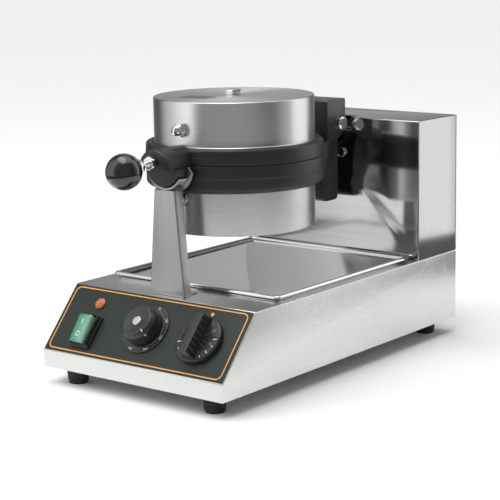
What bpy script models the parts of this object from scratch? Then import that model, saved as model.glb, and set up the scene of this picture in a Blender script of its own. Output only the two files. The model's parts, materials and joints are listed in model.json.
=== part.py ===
"""Rotating waffle cone maker: sheet-steel base and tower, with a hinged pair of round irons that turns over.

Metres, +Z up. X runs to the right along the control panel, Y runs back from the front lip, and Z runs up
from the table. A root empty then moves the whole machine so that its box stands centred on the origin.
"""

import math

import bmesh
import bpy
from mathutils import Matrix, Vector

# Clearance between two pieces that touch
GAP = 0.0003

# Base
BASE_WIDTH = 0.254
BASE_WALL = 0.0015
FOOT_HEIGHT = 0.019
FOOT_RADIUS = 0.01325
FOOT_INSET_X = 0.0295
FOOT_INSET_Y = 0.023
FOOT_RECESS_RADIUS = 0.0045
FOOT_RECESS = 0.003
LIP_HEIGHT = 0.0192
SLOPE_RISE = 0.0641
SLOPE_RUN = 0.0565
BEND_RADIUS = 0.0016
WIRE_HOLE_RADIUS = 0.012

# Drip tray
TRAY_FRONT = 0.106
TRAY_SIDE_MARGIN = 0.009
TRAY_TOWER_MARGIN = 0.003
TRAY_DEPTH = 0.0056
TRAY_RIM = 0.004
TRAY_SHEET = 0.0009
TRAY_CORNER = 0.007

# Irons
RIM_RADIUS = 0.0995
RIM_LEDGE = 0.010
RIM_LIP = 0.008
RIM_CHAMFER = 0.0006
RIM_ROUND = 0.003
SHELF_WIDTH = 0.0055
SHELF_HEIGHT = 0.009
UPPER_RIM_HEIGHT = 0.0175
LOWER_RIM_HEIGHT = 0.0307
UPPER_HOUSING_HEIGHT = 0.0665
LOWER_HOUSING_HEIGHT = 0.0775
HOUSING_SHEET = 0.0012
PLATE_THICKNESS = 0.012
PLATE_BOSS_RADIUS = 0.008
PLATE_BOSS_HEIGHT = 0.020
PLATE_TAPPING = 0.0075
BAKING_FACE_RIM = 0.0045
BAKING_FACE_RECESS = 0.001
ELEMENT_TUBE = 0.0032
ELEMENT_RADIUS = 0.055
ELEMENT_SWEEP = 320
CLAMP_RADIUS = 0.066
CLAMP_SHEET = 0.002
CENTRE_BOLT_FLATS = 0.016
CENTRE_BOLT_HEAD = 0.006
CENTRE_BOLT_SHANK = 0.0035
CAP_NUT_FLATS = 0.014
CAP_NUT_REACH = 0.014
CAP_NUT_HEX = 0.006
CAP_NUT_STUD = 0.003
CAP_NUT_STUD_LENGTH = 0.008
CAP_NUT_OFFSET_UP = 0.0365
CAP_NUT_OFFSET_DOWN = 0.0385
SWING_CLEARANCE = 0.0152

# Front journal and its support
JOURNAL_RADIUS = 0.0218
UPPER_JOURNAL_RADIUS = 0.021
JOURNAL_FRONT = 0.060
UPPER_JOURNAL_FRONT = 0.047
CRADLE_CLEARANCE = 0.0006
CRADLE_TROUGH = 0.002
CRADLE_RING = 0.0071
CRADLE_PLATE = 0.003
POST_FRONT = 0.064
POST_TO_RIM = 0.0215
POST_BOTTOM_WIDTH = 0.049
POST_TOP_WIDTH = 0.029
POST_BOTTOM_DEPTH = 0.011
POST_TOP_DEPTH = 0.0127
POST_SHEET = 0.0015
POST_FOOT_WIDTH = 0.040
POST_FOOT_REACH = 0.027
POST_SCREW_X = 0.010
POST_SCREW_Y = 0.020
POST_SCREW_HEAD = 0.004
POST_SCREW_HEIGHT = 0.0024

# Rear boss, hinge and shaft
BOSS_RADIUS = 0.023
BOSS_REACH = 0.040
BRACKET_WIDTH = 0.055
BRACKET_SHEET = 0.003
BRACKET_DEPTH = 0.0365
BRACKET_RISE = 0.0485
PIN_FROM_BRACKET_FRONT = 0.0286
PIN_RISE = 0.019
PIN_RADIUS = 0.004
PIN_HEAD_RADIUS = 0.0082
PIN_HEAD_HEIGHT = 0.0037
PIN_SLOT = 0.0016
PIN_TAIL = 0.005
PIN_NUT_FLATS = 0.013
PIN_NUT_HEIGHT = 0.004
BLOCK_CLEARANCE = 0.0005
BLOCK_DEPTH = 0.030
BLOCK_DROP = 0.0715
SHAFT_RADIUS = 0.0075
SHAFT_BORE = 0.0045
SHAFT_SOCKET = 0.017

# Tower and bearing
TOWER_GAP = 0.0055
TOWER_DEPTH = 0.085
TOWER_ABOVE_AXIS = 0.0252
TOWER_SHEET = 0.0012
NOTCH_CLEARANCE = 0.0035
NOTCH_DEPTH = 0.020
SHAFT_UNDER_NOTCH = 0.0008
BEARING_WIDTH = 0.040
BEARING_LENGTH = 0.0255
BEARING_RISE = 0.0205
BEARING_DROP = 0.0255
BEARING_CORNER = 0.006
BEARING_LUG_WIDTH = 0.052
BEARING_LUG_CLEARANCE = 0.002
BUSH_WALL = 0.0022
BUSH_FLANGE = 0.0022
BUSH_FLANGE_REACH = 0.0025
BEARING_BOLT_X = 0.019
BEARING_BOLT_DROP = 0.0175
BOLT_FLATS = 0.010
BOLT_HEAD = 0.003
BOLT_SHANK = 0.0028
BOLT_LENGTH = 0.016
COLLAR_WALL = 0.0055
COLLAR_LENGTH = 0.0075
COLLAR_GAP = 0.0013
COLLAR_LUG_REACH = 0.009
COLLAR_LUG_HALF = 0.003
SHAFT_PAST_COLLAR = 0.006
SHAFT_HOLE_CLEARANCE = 0.0013
COVER_FLANGE = 0.010
COVER_SCREW_INSET = 0.012
COVER_SCREW_LENGTH = 0.006
STOP_WIDTH = 0.048
VENT_ROWS = 5
VENT_PITCH = 0.012
VENT_HEIGHT = 0.004
VENT_WIDTH = 0.060
VENT_CENTRE_X = 0.060

# Handle
BALL_RADIUS = 0.01925
BALL_Y = 0.0025
BALL_RISE = 0.0028
ROD_RISE = 0.0075
ROD_RADIUS = 0.003
LOCK_NUT_FLATS = 0.013
LOCK_NUT_HEIGHT = 0.006
FERRULE_FLATS = 0.0145
FERRULE_LENGTH = 0.006
ROD_SOCKET = 0.012
LOCK_NUT_STANDOFF = 0.0012
BALL_FLAT = 0.006

# Control panel: places are (distance from the middle or the side, distance up the slope)
PANEL_MARGIN = 0.0012
PANEL_SHEET = 0.0006
PANEL_CORNER = 0.001
SIDE_ITEM_INSET = 0.0495
SWITCH_UP = 0.029
SWITCH_WIDTH = 0.028
SWITCH_HEIGHT = 0.040
SWITCH_BEZEL = 0.0035
SWITCH_BODY_DEPTH = 0.022
SWITCH_FLANGE = 0.001
BEZEL_CORNER = 0.0015
BEZEL_CHAMFER = 0.0012
SWITCH_WELL_DEPTH = 0.006
ROCKER_WIDTH = 0.019
ROCKER_HEIGHT = 0.033
ROCKER_REACH = 0.014
ROCKER_CLEARANCE = 0.0008
ROCKER_TILT = math.radians(5)
ROCKER_PIVOT = -0.001
ROCKER_SKIRT = 0.0035
LAMP_UP = 0.0645
LAMP_RADIUS = 0.0065
LAMP_REACH = 0.005
LAMP_DEPTH = 0.016
THERMOSTAT_UP = 0.0445
DIAL_RADIUS = 0.029
DIAL_SHEET = 0.0016
DIAL_BORE = 0.008
THERMOSTAT_KNOB_RADIUS = 0.021
THERMOSTAT_KNOB_HEIGHT = 0.020
THERMOSTAT_SOCKET = 0.012
TIMER_UP = 0.042
TIMER_RADIUS = 0.027
TIMER_DISC_HEIGHT = 0.007
TIMER_GRIP_WIDTH = 0.015
TIMER_GRIP_HEIGHT = 0.014
TIMER_GRIP_INSET = 0.0025
TIMER_CAP = 0.0025
SPINDLE_RADIUS = 0.003
CONTROL_BODY_RADIUS = 0.019
CONTROL_BODY_DEPTH = 0.030
CONTROL_BODY_GAP = 0.0005
CONTROL_SOCKET = 0.012
CONTROL_REAR_BORE = 0.004
CONTROL_REAR_SOCKET = 0.020
SPINDLE_INSIDE = 0.010

# Mains inlet
GLAND_X = 0.080
GLAND_RISE = 0.036
GLAND_REACH = 0.016
GLAND_RADIUS = 0.008
GLAND_BORE = 0.0045
GLAND_TAIL = 0.012
GLAND_FLANGE = 0.003
GLAND_BARB = 0.0015
TERMINAL_WAYS = 4
TERMINAL_PITCH = 0.011
TERMINAL_SLOT = 0.0015
TERMINAL_HEIGHT = 0.014
TERMINAL_SLOT_FLOOR = 0.006
TERMINAL_LENGTH = 0.018
TERMINAL_FROM_BACK = 0.065

# Small screws
SCREW_HEAD = 0.0035
SCREW_HEAD_HEIGHT = 0.002
SCREW_SHANK = 0.0016
SCREW_LENGTH = 0.008

# Facets round a full turn
LARGE = 48
INNER = 28
SMALL = 16
FINE = 10

# Levels and places worked out from the driving sizes
HALF_WIDTH = BASE_WIDTH / 2
LIP_TOP = FOOT_HEIGHT + LIP_HEIGHT
DECK = LIP_TOP + SLOPE_RISE
SLOPE_ANGLE = math.atan2(SLOPE_RISE, SLOPE_RUN)
SLOPE_LENGTH = math.hypot(SLOPE_RISE, SLOPE_RUN)
HOUSING_RADIUS = RIM_RADIUS - RIM_LEDGE
SEAT_RADIUS = RIM_RADIUS - RIM_LIP
SHELF_RADIUS = SEAT_RADIUS - SHELF_WIDTH
SWING_RADIUS = math.hypot(HOUSING_RADIUS, max(UPPER_HOUSING_HEIGHT, LOWER_HOUSING_HEIGHT))
TRAY_TOP = DECK + TRAY_DEPTH
AXIS_Z = TRAY_TOP + SWING_CLEARANCE + SWING_RADIUS
IRON_Y = POST_FRONT + POST_TO_RIM + RIM_RADIUS
BOSS_END = IRON_Y + RIM_RADIUS + BOSS_REACH
BRACKET_FRONT = BOSS_END + GAP
PIN_Y = BRACKET_FRONT + PIN_FROM_BRACKET_FRONT
PIN_Z = AXIS_Z + PIN_RISE
TOWER_FRONT = BRACKET_FRONT + BRACKET_DEPTH + TOWER_GAP
BASE_DEPTH = TOWER_FRONT + TOWER_DEPTH
TOWER_TOP = AXIS_Z + TOWER_ABOVE_AXIS
BLOCK_FRONT = BOSS_END - 0.005 + GAP
BLOCK_BACK = BLOCK_FRONT + BLOCK_DEPTH
BEARING_FRONT = TOWER_FRONT + NOTCH_DEPTH + TOWER_SHEET + 0.0015
BEARING_BACK = BEARING_FRONT + BEARING_LENGTH
BLOCK_WIDTH = BRACKET_WIDTH - 2 * (BRACKET_SHEET + BLOCK_CLEARANCE)
NOTCH_WIDTH = BRACKET_WIDTH + 2 * NOTCH_CLEARANCE
NOTCH_FLOOR = SHAFT_RADIUS + SHAFT_UNDER_NOTCH + TOWER_SHEET
COLLAR_RADIUS = SHAFT_RADIUS + COLLAR_WALL
BUSH_BORE = SHAFT_RADIUS + GAP
BUSH_RADIUS = BUSH_BORE + BUSH_WALL
SIDE_ITEM_X = HALF_WIDTH - SIDE_ITEM_INSET
PANEL_FACE = GAP + PANEL_SHEET
GLAND_Z = FOOT_HEIGHT + GLAND_RISE
POST_TOP = AXIS_Z - JOURNAL_RADIUS - CRADLE_CLEARANCE - CRADLE_TROUGH - GAP
ROD_START = Vector((0, UPPER_JOURNAL_FRONT, AXIS_Z + ROD_RISE))
BALL_CENTRE = Vector((0, BALL_Y, AXIS_Z + BALL_RISE))
HANDLE_LENGTH = (BALL_CENTRE - ROD_START).length
HANDLE_TURN = (BALL_CENTRE - ROD_START).to_track_quat("Z", "X").to_matrix().to_4x4()
HANDLE = Matrix.Translation(ROD_START) @ HANDLE_TURN

# How far a cutter passes through a sheet, and through the whole machine
THROUGH = 0.02
DEEP = 0.3

MATERIALS = {
    "brushed_steel": ((0.62, 0.62, 0.61), 0.32, 1.0),
    "mirror_steel": ((0.78, 0.78, 0.77), 0.10, 1.0),
    "sheet_steel": ((0.70, 0.70, 0.69), 0.25, 1.0),
    "black_casting": ((0.02, 0.02, 0.022), 0.45, 0.0),
    "baking_iron": ((0.09, 0.09, 0.095), 0.55, 0.6),
    "chrome": ((0.80, 0.80, 0.82), 0.08, 1.0),
    "black_rubber": ((0.015, 0.015, 0.015), 0.80, 0.0),
    "black_plastic": ((0.02, 0.02, 0.02), 0.35, 0.0),
    "panel_print": ((0.040, 0.047, 0.044), 0.40, 0.0),
    "green_boot": ((0.01, 0.16, 0.08), 0.25, 0.0),
    "amber_lens": ((0.57, 0.15, 0.03), 0.25, 0.0),
    "bronze": ((0.55, 0.36, 0.16), 0.35, 1.0),
    "ceramic": ((0.75, 0.73, 0.68), 0.60, 0.0),
    "element_steel": ((0.25, 0.23, 0.22), 0.45, 1.0),
}


def make_material(name, colour, roughness, metallic):
    material = bpy.data.materials.new(name)
    material.use_nodes = True
    shader = material.node_tree.nodes["Principled BSDF"]
    shader.inputs["Base Color"].default_value = (*colour, 1.0)
    shader.inputs["Roughness"].default_value = roughness
    shader.inputs["Metallic"].default_value = metallic
    return material


def add_empty(name, parent, location):
    empty = bpy.data.objects.new(name, None)
    empty.parent = parent
    empty.location = location
    bpy.context.collection.objects.link(empty)
    return empty


def add_object(name, bm, body):
    """The mesh as an object of one body, drawn in the machine's own frame."""
    mesh = bpy.data.meshes.new(name)
    bm.to_mesh(mesh)
    bm.free()
    obj = bpy.data.objects.new(name, mesh)
    bpy.context.collection.objects.link(obj)
    obj.parent, axis_point = BODIES[body]
    obj.location = -axis_point
    return obj


def part(name, bm, material, body):
    obj = add_object(name, bm, body)
    obj.data.shade_smooth()
    obj.data.set_sharp_from_angle(angle=math.radians(35))
    obj.data.materials.append(MADE[material])
    obj["body"] = body
    return obj


def combine(obj, operation, tools):
    """Cuts the tools from the object, or joins them to it."""
    for number, bm in enumerate(tools):
        tool = add_object(f"{obj.name}_{operation.lower()}_{len(obj.modifiers)}", bm, obj["body"])
        tool.hide_render = True
        tool.display_type = "WIRE"
        modifier = obj.modifiers.new(f"{operation.title()} {number}", "BOOLEAN")
        modifier.operation = operation
        modifier.object = tool


def cut(obj, *tools):
    combine(obj, "DIFFERENCE", tools)


def join(obj, *tools):
    combine(obj, "UNION", tools)


def closed(bm, place=None):
    """Faces turned outwards, and the solid carried to its place."""
    bmesh.ops.recalc_face_normals(bm, faces=bm.faces)
    if place is not None:
        bm.transform(place)
    return bm


def extruded(outline, axis, low, high, place=None):
    """The outline carried along an axis. Its points are in the two other axes, in X, Y, Z order."""
    index = "XYZ".index(axis)
    loops = [[(*point[:index], height, *point[index:]) for point in outline] for height in (low, high)]
    return lofted(loops, place)


def lofted(loops, place=None):
    """Loops of equally many points, skinned in order and capped at both ends."""
    bm = bmesh.new()
    rows = [[bm.verts.new(point) for point in loop] for loop in loops]
    for low, high in zip(rows, rows[1:]):
        for i in range(len(low)):
            bm.faces.new((low[i - 1], low[i], high[i], high[i - 1]))
    bm.faces.new(rows[0])
    bm.faces.new(rows[-1])
    return closed(bm, place)


def box(low, high, place=None):
    (x0, y0, z0), (x1, y1, z1) = low, high
    return extruded([(x0, y0), (x1, y0), (x1, y1), (x0, y1)], "Z", z0, z1, place)


def turned(profile, segments, place=None):
    """The (radius, height) profile spun round Z. One that starts and ends on the axis is left open there."""
    bm = bmesh.new()
    verts = [bm.verts.new((radius, 0, height)) for radius, height in profile]
    edges = [bm.edges.new(pair) for pair in zip(verts, verts[1:])]
    if profile[0][0] > 0:
        edges.append(bm.edges.new((verts[-1], verts[0])))
    bmesh.ops.spin(bm, geom=verts + edges, axis=(0, 0, 1), angle=math.tau, steps=segments, use_merge=True)
    bmesh.ops.remove_doubles(bm, verts=bm.verts, dist=1e-7)
    return closed(bm, place)


def rod(radius, low, high, segments, place=None):
    return turned([(0, low), (radius, low), (radius, high), (0, high)], segments, place)


def hexagon(across_flats, low, high, place=None):
    """A hexagonal prism along Z, with a corner on each side and flats above and below."""
    corner = across_flats / math.sqrt(3)
    return extruded(arc((0, 0), corner, 0, 300, 5), "Z", low, high, place)


def arc(centre, radius, start, end, steps):
    """Points on a circle, from one angle in degrees to another."""
    angles = [math.radians(start + (end - start) * i / steps) for i in range(steps + 1)]
    return [(centre[0] + radius * math.cos(a), centre[1] + radius * math.sin(a)) for a in angles]


def filleted(corners, steps=3):
    """The closed outline through (a, b, radius) corners, each rounded to its own radius."""
    points = []
    for i, (a, b, radius) in enumerate(corners):
        here = Vector((a, b))
        if radius == 0:
            points.append((a, b))
            continue
        back = (Vector(corners[i - 1][:2]) - here).normalized()
        ahead = (Vector(corners[(i + 1) % len(corners)][:2]) - here).normalized()
        half = back.angle(ahead) / 2
        centre = here + (back + ahead).normalized() * radius / math.sin(half)
        start = (here + back * radius / math.tan(half) - centre).normalized()
        end = (here + ahead * radius / math.tan(half) - centre).normalized()
        points += [tuple(centre + start.slerp(end, k / steps) * radius) for k in range(steps + 1)]
    return points


def rounded_rectangle(half_x, half_y, radius, steps=3):
    signs = [(-1, -1), (1, -1), (1, 1), (-1, 1)]
    return filleted([(x * half_x, y * half_y, radius) for x, y in signs], steps)


def at(x, y, z):
    return Matrix.Translation((x, y, z))


def facing_back(x, y, z):
    """Local Z turned to +Y."""
    return at(x, y, z) @ Matrix.Rotation(-math.pi / 2, 4, "X")


def facing_front(x, y, z):
    """Local Z turned to -Y."""
    return at(x, y, z) @ Matrix.Rotation(math.pi / 2, 4, "X")


def on_panel(x, up):
    """Local Z along the panel's normal, local Y up the slope, starting on the base's sloping sheet."""
    return at(0, 0, LIP_TOP) @ Matrix.Rotation(SLOPE_ANGLE, 4, "X") @ at(x, up, 0)


def screw(name, place, head=SCREW_HEAD, height=SCREW_HEAD_HEIGHT, length=SCREW_LENGTH):
    """A cheese-head screw whose head sits on local Z = 0 and whose shank points down."""
    profile = [(0, -length), (SCREW_SHANK, -length), (SCREW_SHANK, GAP), (head, GAP)]
    profile += [(head, height * 0.7 + GAP), (head * 0.8, height + GAP), (0, height + GAP)]
    return part(name, turned(profile, FINE, place), "chrome", "base")


# ---------------------------------------------------------------- base


def build_base():
    wall = BASE_WALL
    outer = filleted([
        (0, FOOT_HEIGHT, 0), (0, LIP_TOP, BEND_RADIUS), (SLOPE_RUN, DECK, BEND_RADIUS),
        (BASE_DEPTH, DECK, BEND_RADIUS), (BASE_DEPTH, FOOT_HEIGHT, 0),
    ], 2)
    lean = wall * math.tan(SLOPE_ANGLE / 2)
    turn = wall * math.tan((math.pi / 2 - SLOPE_ANGLE) / 2)
    inner = [
        (wall, FOOT_HEIGHT - wall), (wall, LIP_TOP - turn), (SLOPE_RUN + lean, DECK - wall),
        (BASE_DEPTH - wall, DECK - wall), (BASE_DEPTH - wall, FOOT_HEIGHT - wall),
    ]
    housing = part("base_housing", extruded(outer, "X", -HALF_WIDTH, HALF_WIDTH), "sheet_steel", "base")
    cut(housing, extruded(inner, "X", wall - HALF_WIDTH, HALF_WIDTH - wall))
    cut(housing, *panel_openings(-2 * wall, wall))
    low, high = DECK - THROUGH, DECK + THROUGH
    cut(housing, rod(WIRE_HOLE_RADIUS, low, high, SMALL, at(0, TOWER_FRONT + 0.6 * TOWER_DEPTH, 0)))
    inlet = facing_back(GLAND_X, BASE_DEPTH, GLAND_Z)
    cut(housing, rod(GLAND_RADIUS + GAP, -THROUGH, THROUGH, SMALL, inlet))
    for side in (-1, 1):
        place = at(side * POST_SCREW_X, POST_FRONT + POST_SCREW_Y, 0)
        cut(housing, rod(SCREW_SHANK + GAP, low, high, FINE, place))

    inset = BASE_WALL + GAP
    plate = part("bottom_plate", box(
        (inset - HALF_WIDTH, inset, FOOT_HEIGHT),
        (HALF_WIDTH - inset, BASE_DEPTH - inset, FOOT_HEIGHT + BASE_WALL),
    ), "sheet_steel", "base")
    for row in range(VENT_ROWS):
        y = BASE_DEPTH / 2 + (row - (VENT_ROWS - 1) / 2) * 2 * VENT_PITCH - VENT_HEIGHT / 2
        cut(plate, box((-VENT_WIDTH / 2, y, 0), (VENT_WIDTH / 2, y + VENT_HEIGHT, DECK)))

    foot_top = FOOT_HEIGHT - GAP
    profile = [
        (0, FOOT_RECESS), (FOOT_RECESS_RADIUS, FOOT_RECESS), (FOOT_RECESS_RADIUS, 0),
        (FOOT_RADIUS * 0.84, 0), (FOOT_RADIUS * 0.87, foot_top * 0.05),
        (FOOT_RADIUS, foot_top * 0.9), (FOOT_RADIUS, foot_top), (0, foot_top),
    ]
    for end, y in (("front", FOOT_INSET_Y), ("rear", BASE_DEPTH - FOOT_INSET_Y)):
        for side, x in (("left", FOOT_INSET_X - HALF_WIDTH), ("right", HALF_WIDTH - FOOT_INSET_X)):
            part(f"foot_{end}_{side}", turned(profile, SMALL, at(x, y, 0)), "black_rubber", "base")


def build_inlet():
    place = facing_back(GLAND_X, BASE_DEPTH, GLAND_Z)
    reach, flange = GLAND_REACH, GLAND_RADIUS + GLAND_FLANGE
    inside, barb = BASE_WALL + GAP, GLAND_RADIUS + GLAND_BARB
    profile = [
        (GLAND_BORE, -GLAND_TAIL), (GLAND_RADIUS, -GLAND_TAIL), (barb, -inside - GLAND_BARB),
        (barb, -inside), (GLAND_RADIUS, -inside), (GLAND_RADIUS, GAP), (flange, GAP),
        (flange, reach * 0.4), (flange - GLAND_FLANGE / 2, reach * 0.45),
        (flange - GLAND_FLANGE * 0.7, reach * 0.8), (GLAND_RADIUS * 0.88, reach), (GLAND_BORE, reach),
    ]
    part("cord_gland", turned(profile, SMALL, place), "black_plastic", "base")

    low = FOOT_HEIGHT + BASE_WALL + GAP
    high, floor = low + TERMINAL_HEIGHT, low + TERMINAL_SLOT_FLOOR
    start = GLAND_X - TERMINAL_WAYS * TERMINAL_PITCH / 2
    comb = [(start, low)]
    for way in range(TERMINAL_WAYS):
        left = start + way * TERMINAL_PITCH
        right = left + TERMINAL_PITCH - TERMINAL_SLOT
        comb += [(left, floor)] if way > 0 else []
        comb += [(left, high), (right, high), (right, floor)]
    comb[-1] = (right, low)
    front = BASE_DEPTH - TERMINAL_FROM_BACK
    part("terminal_block", extruded(comb, "Y", front, front + TERMINAL_LENGTH), "ceramic", "base")


# ---------------------------------------------------------------- control panel


def panel_openings(low, high):
    """Cutters for what passes through the panel: the switch, the lamp and the two spindles."""
    spindle = SPINDLE_RADIUS + 2 * GAP
    inner_x, inner_y = SWITCH_WIDTH / 2 - SWITCH_FLANGE, SWITCH_HEIGHT / 2 - SWITCH_FLANGE
    return [
        box((-inner_x, -inner_y, low), (inner_x, inner_y, high), on_panel(-SIDE_ITEM_X, SWITCH_UP)),
        rod(LAMP_RADIUS * 0.7 + GAP, low, high, SMALL, on_panel(-SIDE_ITEM_X, LAMP_UP)),
        rod(spindle, low, high, SMALL, on_panel(0, THERMOSTAT_UP)),
        rod(spindle, low, high, SMALL, on_panel(SIDE_ITEM_X, TIMER_UP)),
    ]


def build_panel():
    sheet = rounded_rectangle(HALF_WIDTH - PANEL_MARGIN, SLOPE_LENGTH / 2 - PANEL_MARGIN, PANEL_CORNER, 1)
    solid = extruded(sheet, "Z", GAP, PANEL_FACE, on_panel(0, SLOPE_LENGTH / 2))
    panel = part("control_panel", solid, "panel_print", "base")
    cut(panel, *panel_openings(-BASE_WALL, BASE_WALL))

    lamp_stem = LAMP_RADIUS * 0.7
    face = PANEL_FACE + GAP
    profile = [
        (0, -LAMP_DEPTH), (lamp_stem, -LAMP_DEPTH), (lamp_stem, face), (LAMP_RADIUS, face),
        (LAMP_RADIUS, face + LAMP_REACH * 0.4), (LAMP_RADIUS * 0.85, face + LAMP_REACH * 0.75),
        (LAMP_RADIUS * 0.5, face + LAMP_REACH * 0.95),
        (0, face + LAMP_REACH),
    ]
    part("indicator_lamp", turned(profile, SMALL, on_panel(-SIDE_ITEM_X, LAMP_UP)), "amber_lens", "base")


def build_switch():
    place = on_panel(-SIDE_ITEM_X, SWITCH_UP)
    face = PANEL_FACE + GAP
    half_x, half_y = SWITCH_WIDTH / 2, SWITCH_HEIGHT / 2
    neck_x, neck_y = half_x - SWITCH_FLANGE - GAP, half_y - SWITCH_FLANGE - GAP
    steps = ((0, face), (0, face + SWITCH_BEZEL * 0.6), (BEZEL_CHAMFER, face + SWITCH_BEZEL))
    flange = [
        [(x, y, z) for x, y in rounded_rectangle(half_x - inset, half_y - inset, BEZEL_CORNER, 2)]
        for inset, z in steps
    ]
    bezel = part("switch_bezel", lofted(flange, place), "black_plastic", "base")
    join(bezel, box((-neck_x, -neck_y, -SWITCH_BODY_DEPTH), (neck_x, neck_y, face + 0.001), place))
    well_x = ROCKER_WIDTH / 2 + ROCKER_CLEARANCE
    well_y = ROCKER_HEIGHT / 2 + 2 * ROCKER_CLEARANCE
    cut(bezel, box((-well_x, -well_y, ROCKER_PIVOT - SWITCH_WELL_DEPTH), (well_x, well_y, THROUGH), place))

    tilted = place @ at(0, 0, ROCKER_PIVOT) @ Matrix.Rotation(ROCKER_TILT, 4, "X")
    top = ROCKER_REACH - ROCKER_PIVOT
    boot = []
    for inset, radius, z in (
        (0, 0.0015, -ROCKER_SKIRT), (0, 0.0025, top * 0.35), (0.0006, 0.003, top * 0.85), (0.002, 0.002, top),
    ):
        outline = rounded_rectangle(ROCKER_WIDTH / 2 - inset, ROCKER_HEIGHT / 2 - inset, radius)
        boot.append([(x, y, z) for x, y in outline])
    part("power_rocker", lofted(boot, tilted), "green_boot", "power_rocker")


def build_knobs():
    face = PANEL_FACE + GAP
    inside = -BASE_WALL - GAP
    body_top = inside - CONTROL_BODY_GAP
    body_low = body_top - CONTROL_BODY_DEPTH
    spindle_low = body_top - SPINDLE_INSIDE
    control_body = [
        (SPINDLE_RADIUS + 2 * GAP, body_top - CONTROL_SOCKET), (SPINDLE_RADIUS + 2 * GAP, body_top),
        (CONTROL_BODY_RADIUS, body_top), (CONTROL_BODY_RADIUS, body_low),
        (CONTROL_REAR_BORE, body_low), (CONTROL_REAR_BORE, body_top - CONTROL_REAR_SOCKET),
    ]

    place = on_panel(0, THERMOSTAT_UP)
    part("thermostat_body", turned(control_body, SMALL, place), "ceramic", "base")
    dial = [
        (DIAL_BORE, face), (DIAL_RADIUS, face), (DIAL_RADIUS, face + DIAL_SHEET * 0.5),
        (DIAL_RADIUS - DIAL_SHEET * 0.6, face + DIAL_SHEET), (DIAL_BORE, face + DIAL_SHEET),
    ]
    part("thermostat_dial", turned(dial, INNER, place), "black_plastic", "base")
    low = face + DIAL_SHEET + GAP
    radius, high = THERMOSTAT_KNOB_RADIUS, face + THERMOSTAT_KNOB_HEIGHT
    bore, bore_end = SPINDLE_RADIUS + GAP, low + THERMOSTAT_SOCKET
    knob = [
        (0, bore_end), (bore, bore_end), (bore, low), (radius, low), (radius, high - 0.004),
        (radius - 0.0012, high - 0.0018), (radius - 0.004, high - 0.0006), (radius * 0.45, high), (0, high),
    ]
    part("thermostat_knob", turned(knob, INNER, place), "black_plastic", "thermostat_knob")
    spindle = rod(SPINDLE_RADIUS, spindle_low, bore_end - GAP, FINE, place)
    part("thermostat_spindle", spindle, "chrome", "thermostat_knob")

    place = on_panel(SIDE_ITEM_X, TIMER_UP)
    part("timer_body", turned(control_body, SMALL, place), "ceramic", "base")
    radius, high = TIMER_RADIUS, face + TIMER_DISC_HEIGHT
    socket_end = high - TIMER_CAP
    disc = [
        (0, socket_end), (bore, socket_end), (bore, face), (radius, face), (radius, high - 0.0015),
        (radius - 0.0015, high), (0, high),
    ]
    knob = part("timer_knob", turned(disc, INNER, place), "black_plastic", "timer_knob")
    half, reach, grip_top = TIMER_GRIP_WIDTH / 2, radius - TIMER_GRIP_INSET, high + TIMER_GRIP_HEIGHT
    grip = [
        [(x, y, z) for x, y in rounded_rectangle(half - inset, reach - inset, half * 0.8 - inset)]
        for inset, z in ((0, high - 0.001), (0.0008, grip_top - TIMER_GRIP_HEIGHT * 0.15), (0.002, grip_top))
    ]
    join(knob, lofted(grip, place))
    spindle = rod(SPINDLE_RADIUS, spindle_low, socket_end - GAP, FINE, place)
    part("timer_spindle", spindle, "chrome", "timer_knob")


# ---------------------------------------------------------------- drip tray


def build_tray():
    half_x = HALF_WIDTH - TRAY_SIDE_MARGIN
    back = TOWER_FRONT - TRAY_TOWER_MARGIN
    half_y = (back - TRAY_FRONT) / 2
    floor = DECK + GAP
    wall = TRAY_RIM + TRAY_SHEET
    section = [
        (wall, floor), (TRAY_RIM, floor + TRAY_SHEET), (TRAY_RIM, TRAY_TOP - TRAY_SHEET),
        (0, TRAY_TOP - TRAY_SHEET * 1.5), (0, TRAY_TOP), (TRAY_RIM, TRAY_TOP),
        (wall, TRAY_TOP - TRAY_SHEET / 2), (wall + 0.0004, floor + TRAY_SHEET),
    ]
    loops = [
        [(x, y, z) for x, y in rounded_rectangle(half_x - inset, half_y - inset, TRAY_CORNER - inset)]
        for inset, z in section
    ]
    part("drip_tray", lofted(loops, at(0, TRAY_FRONT + half_y, 0)), "mirror_steel", "drip_tray")


# ---------------------------------------------------------------- tower and bearing


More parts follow.
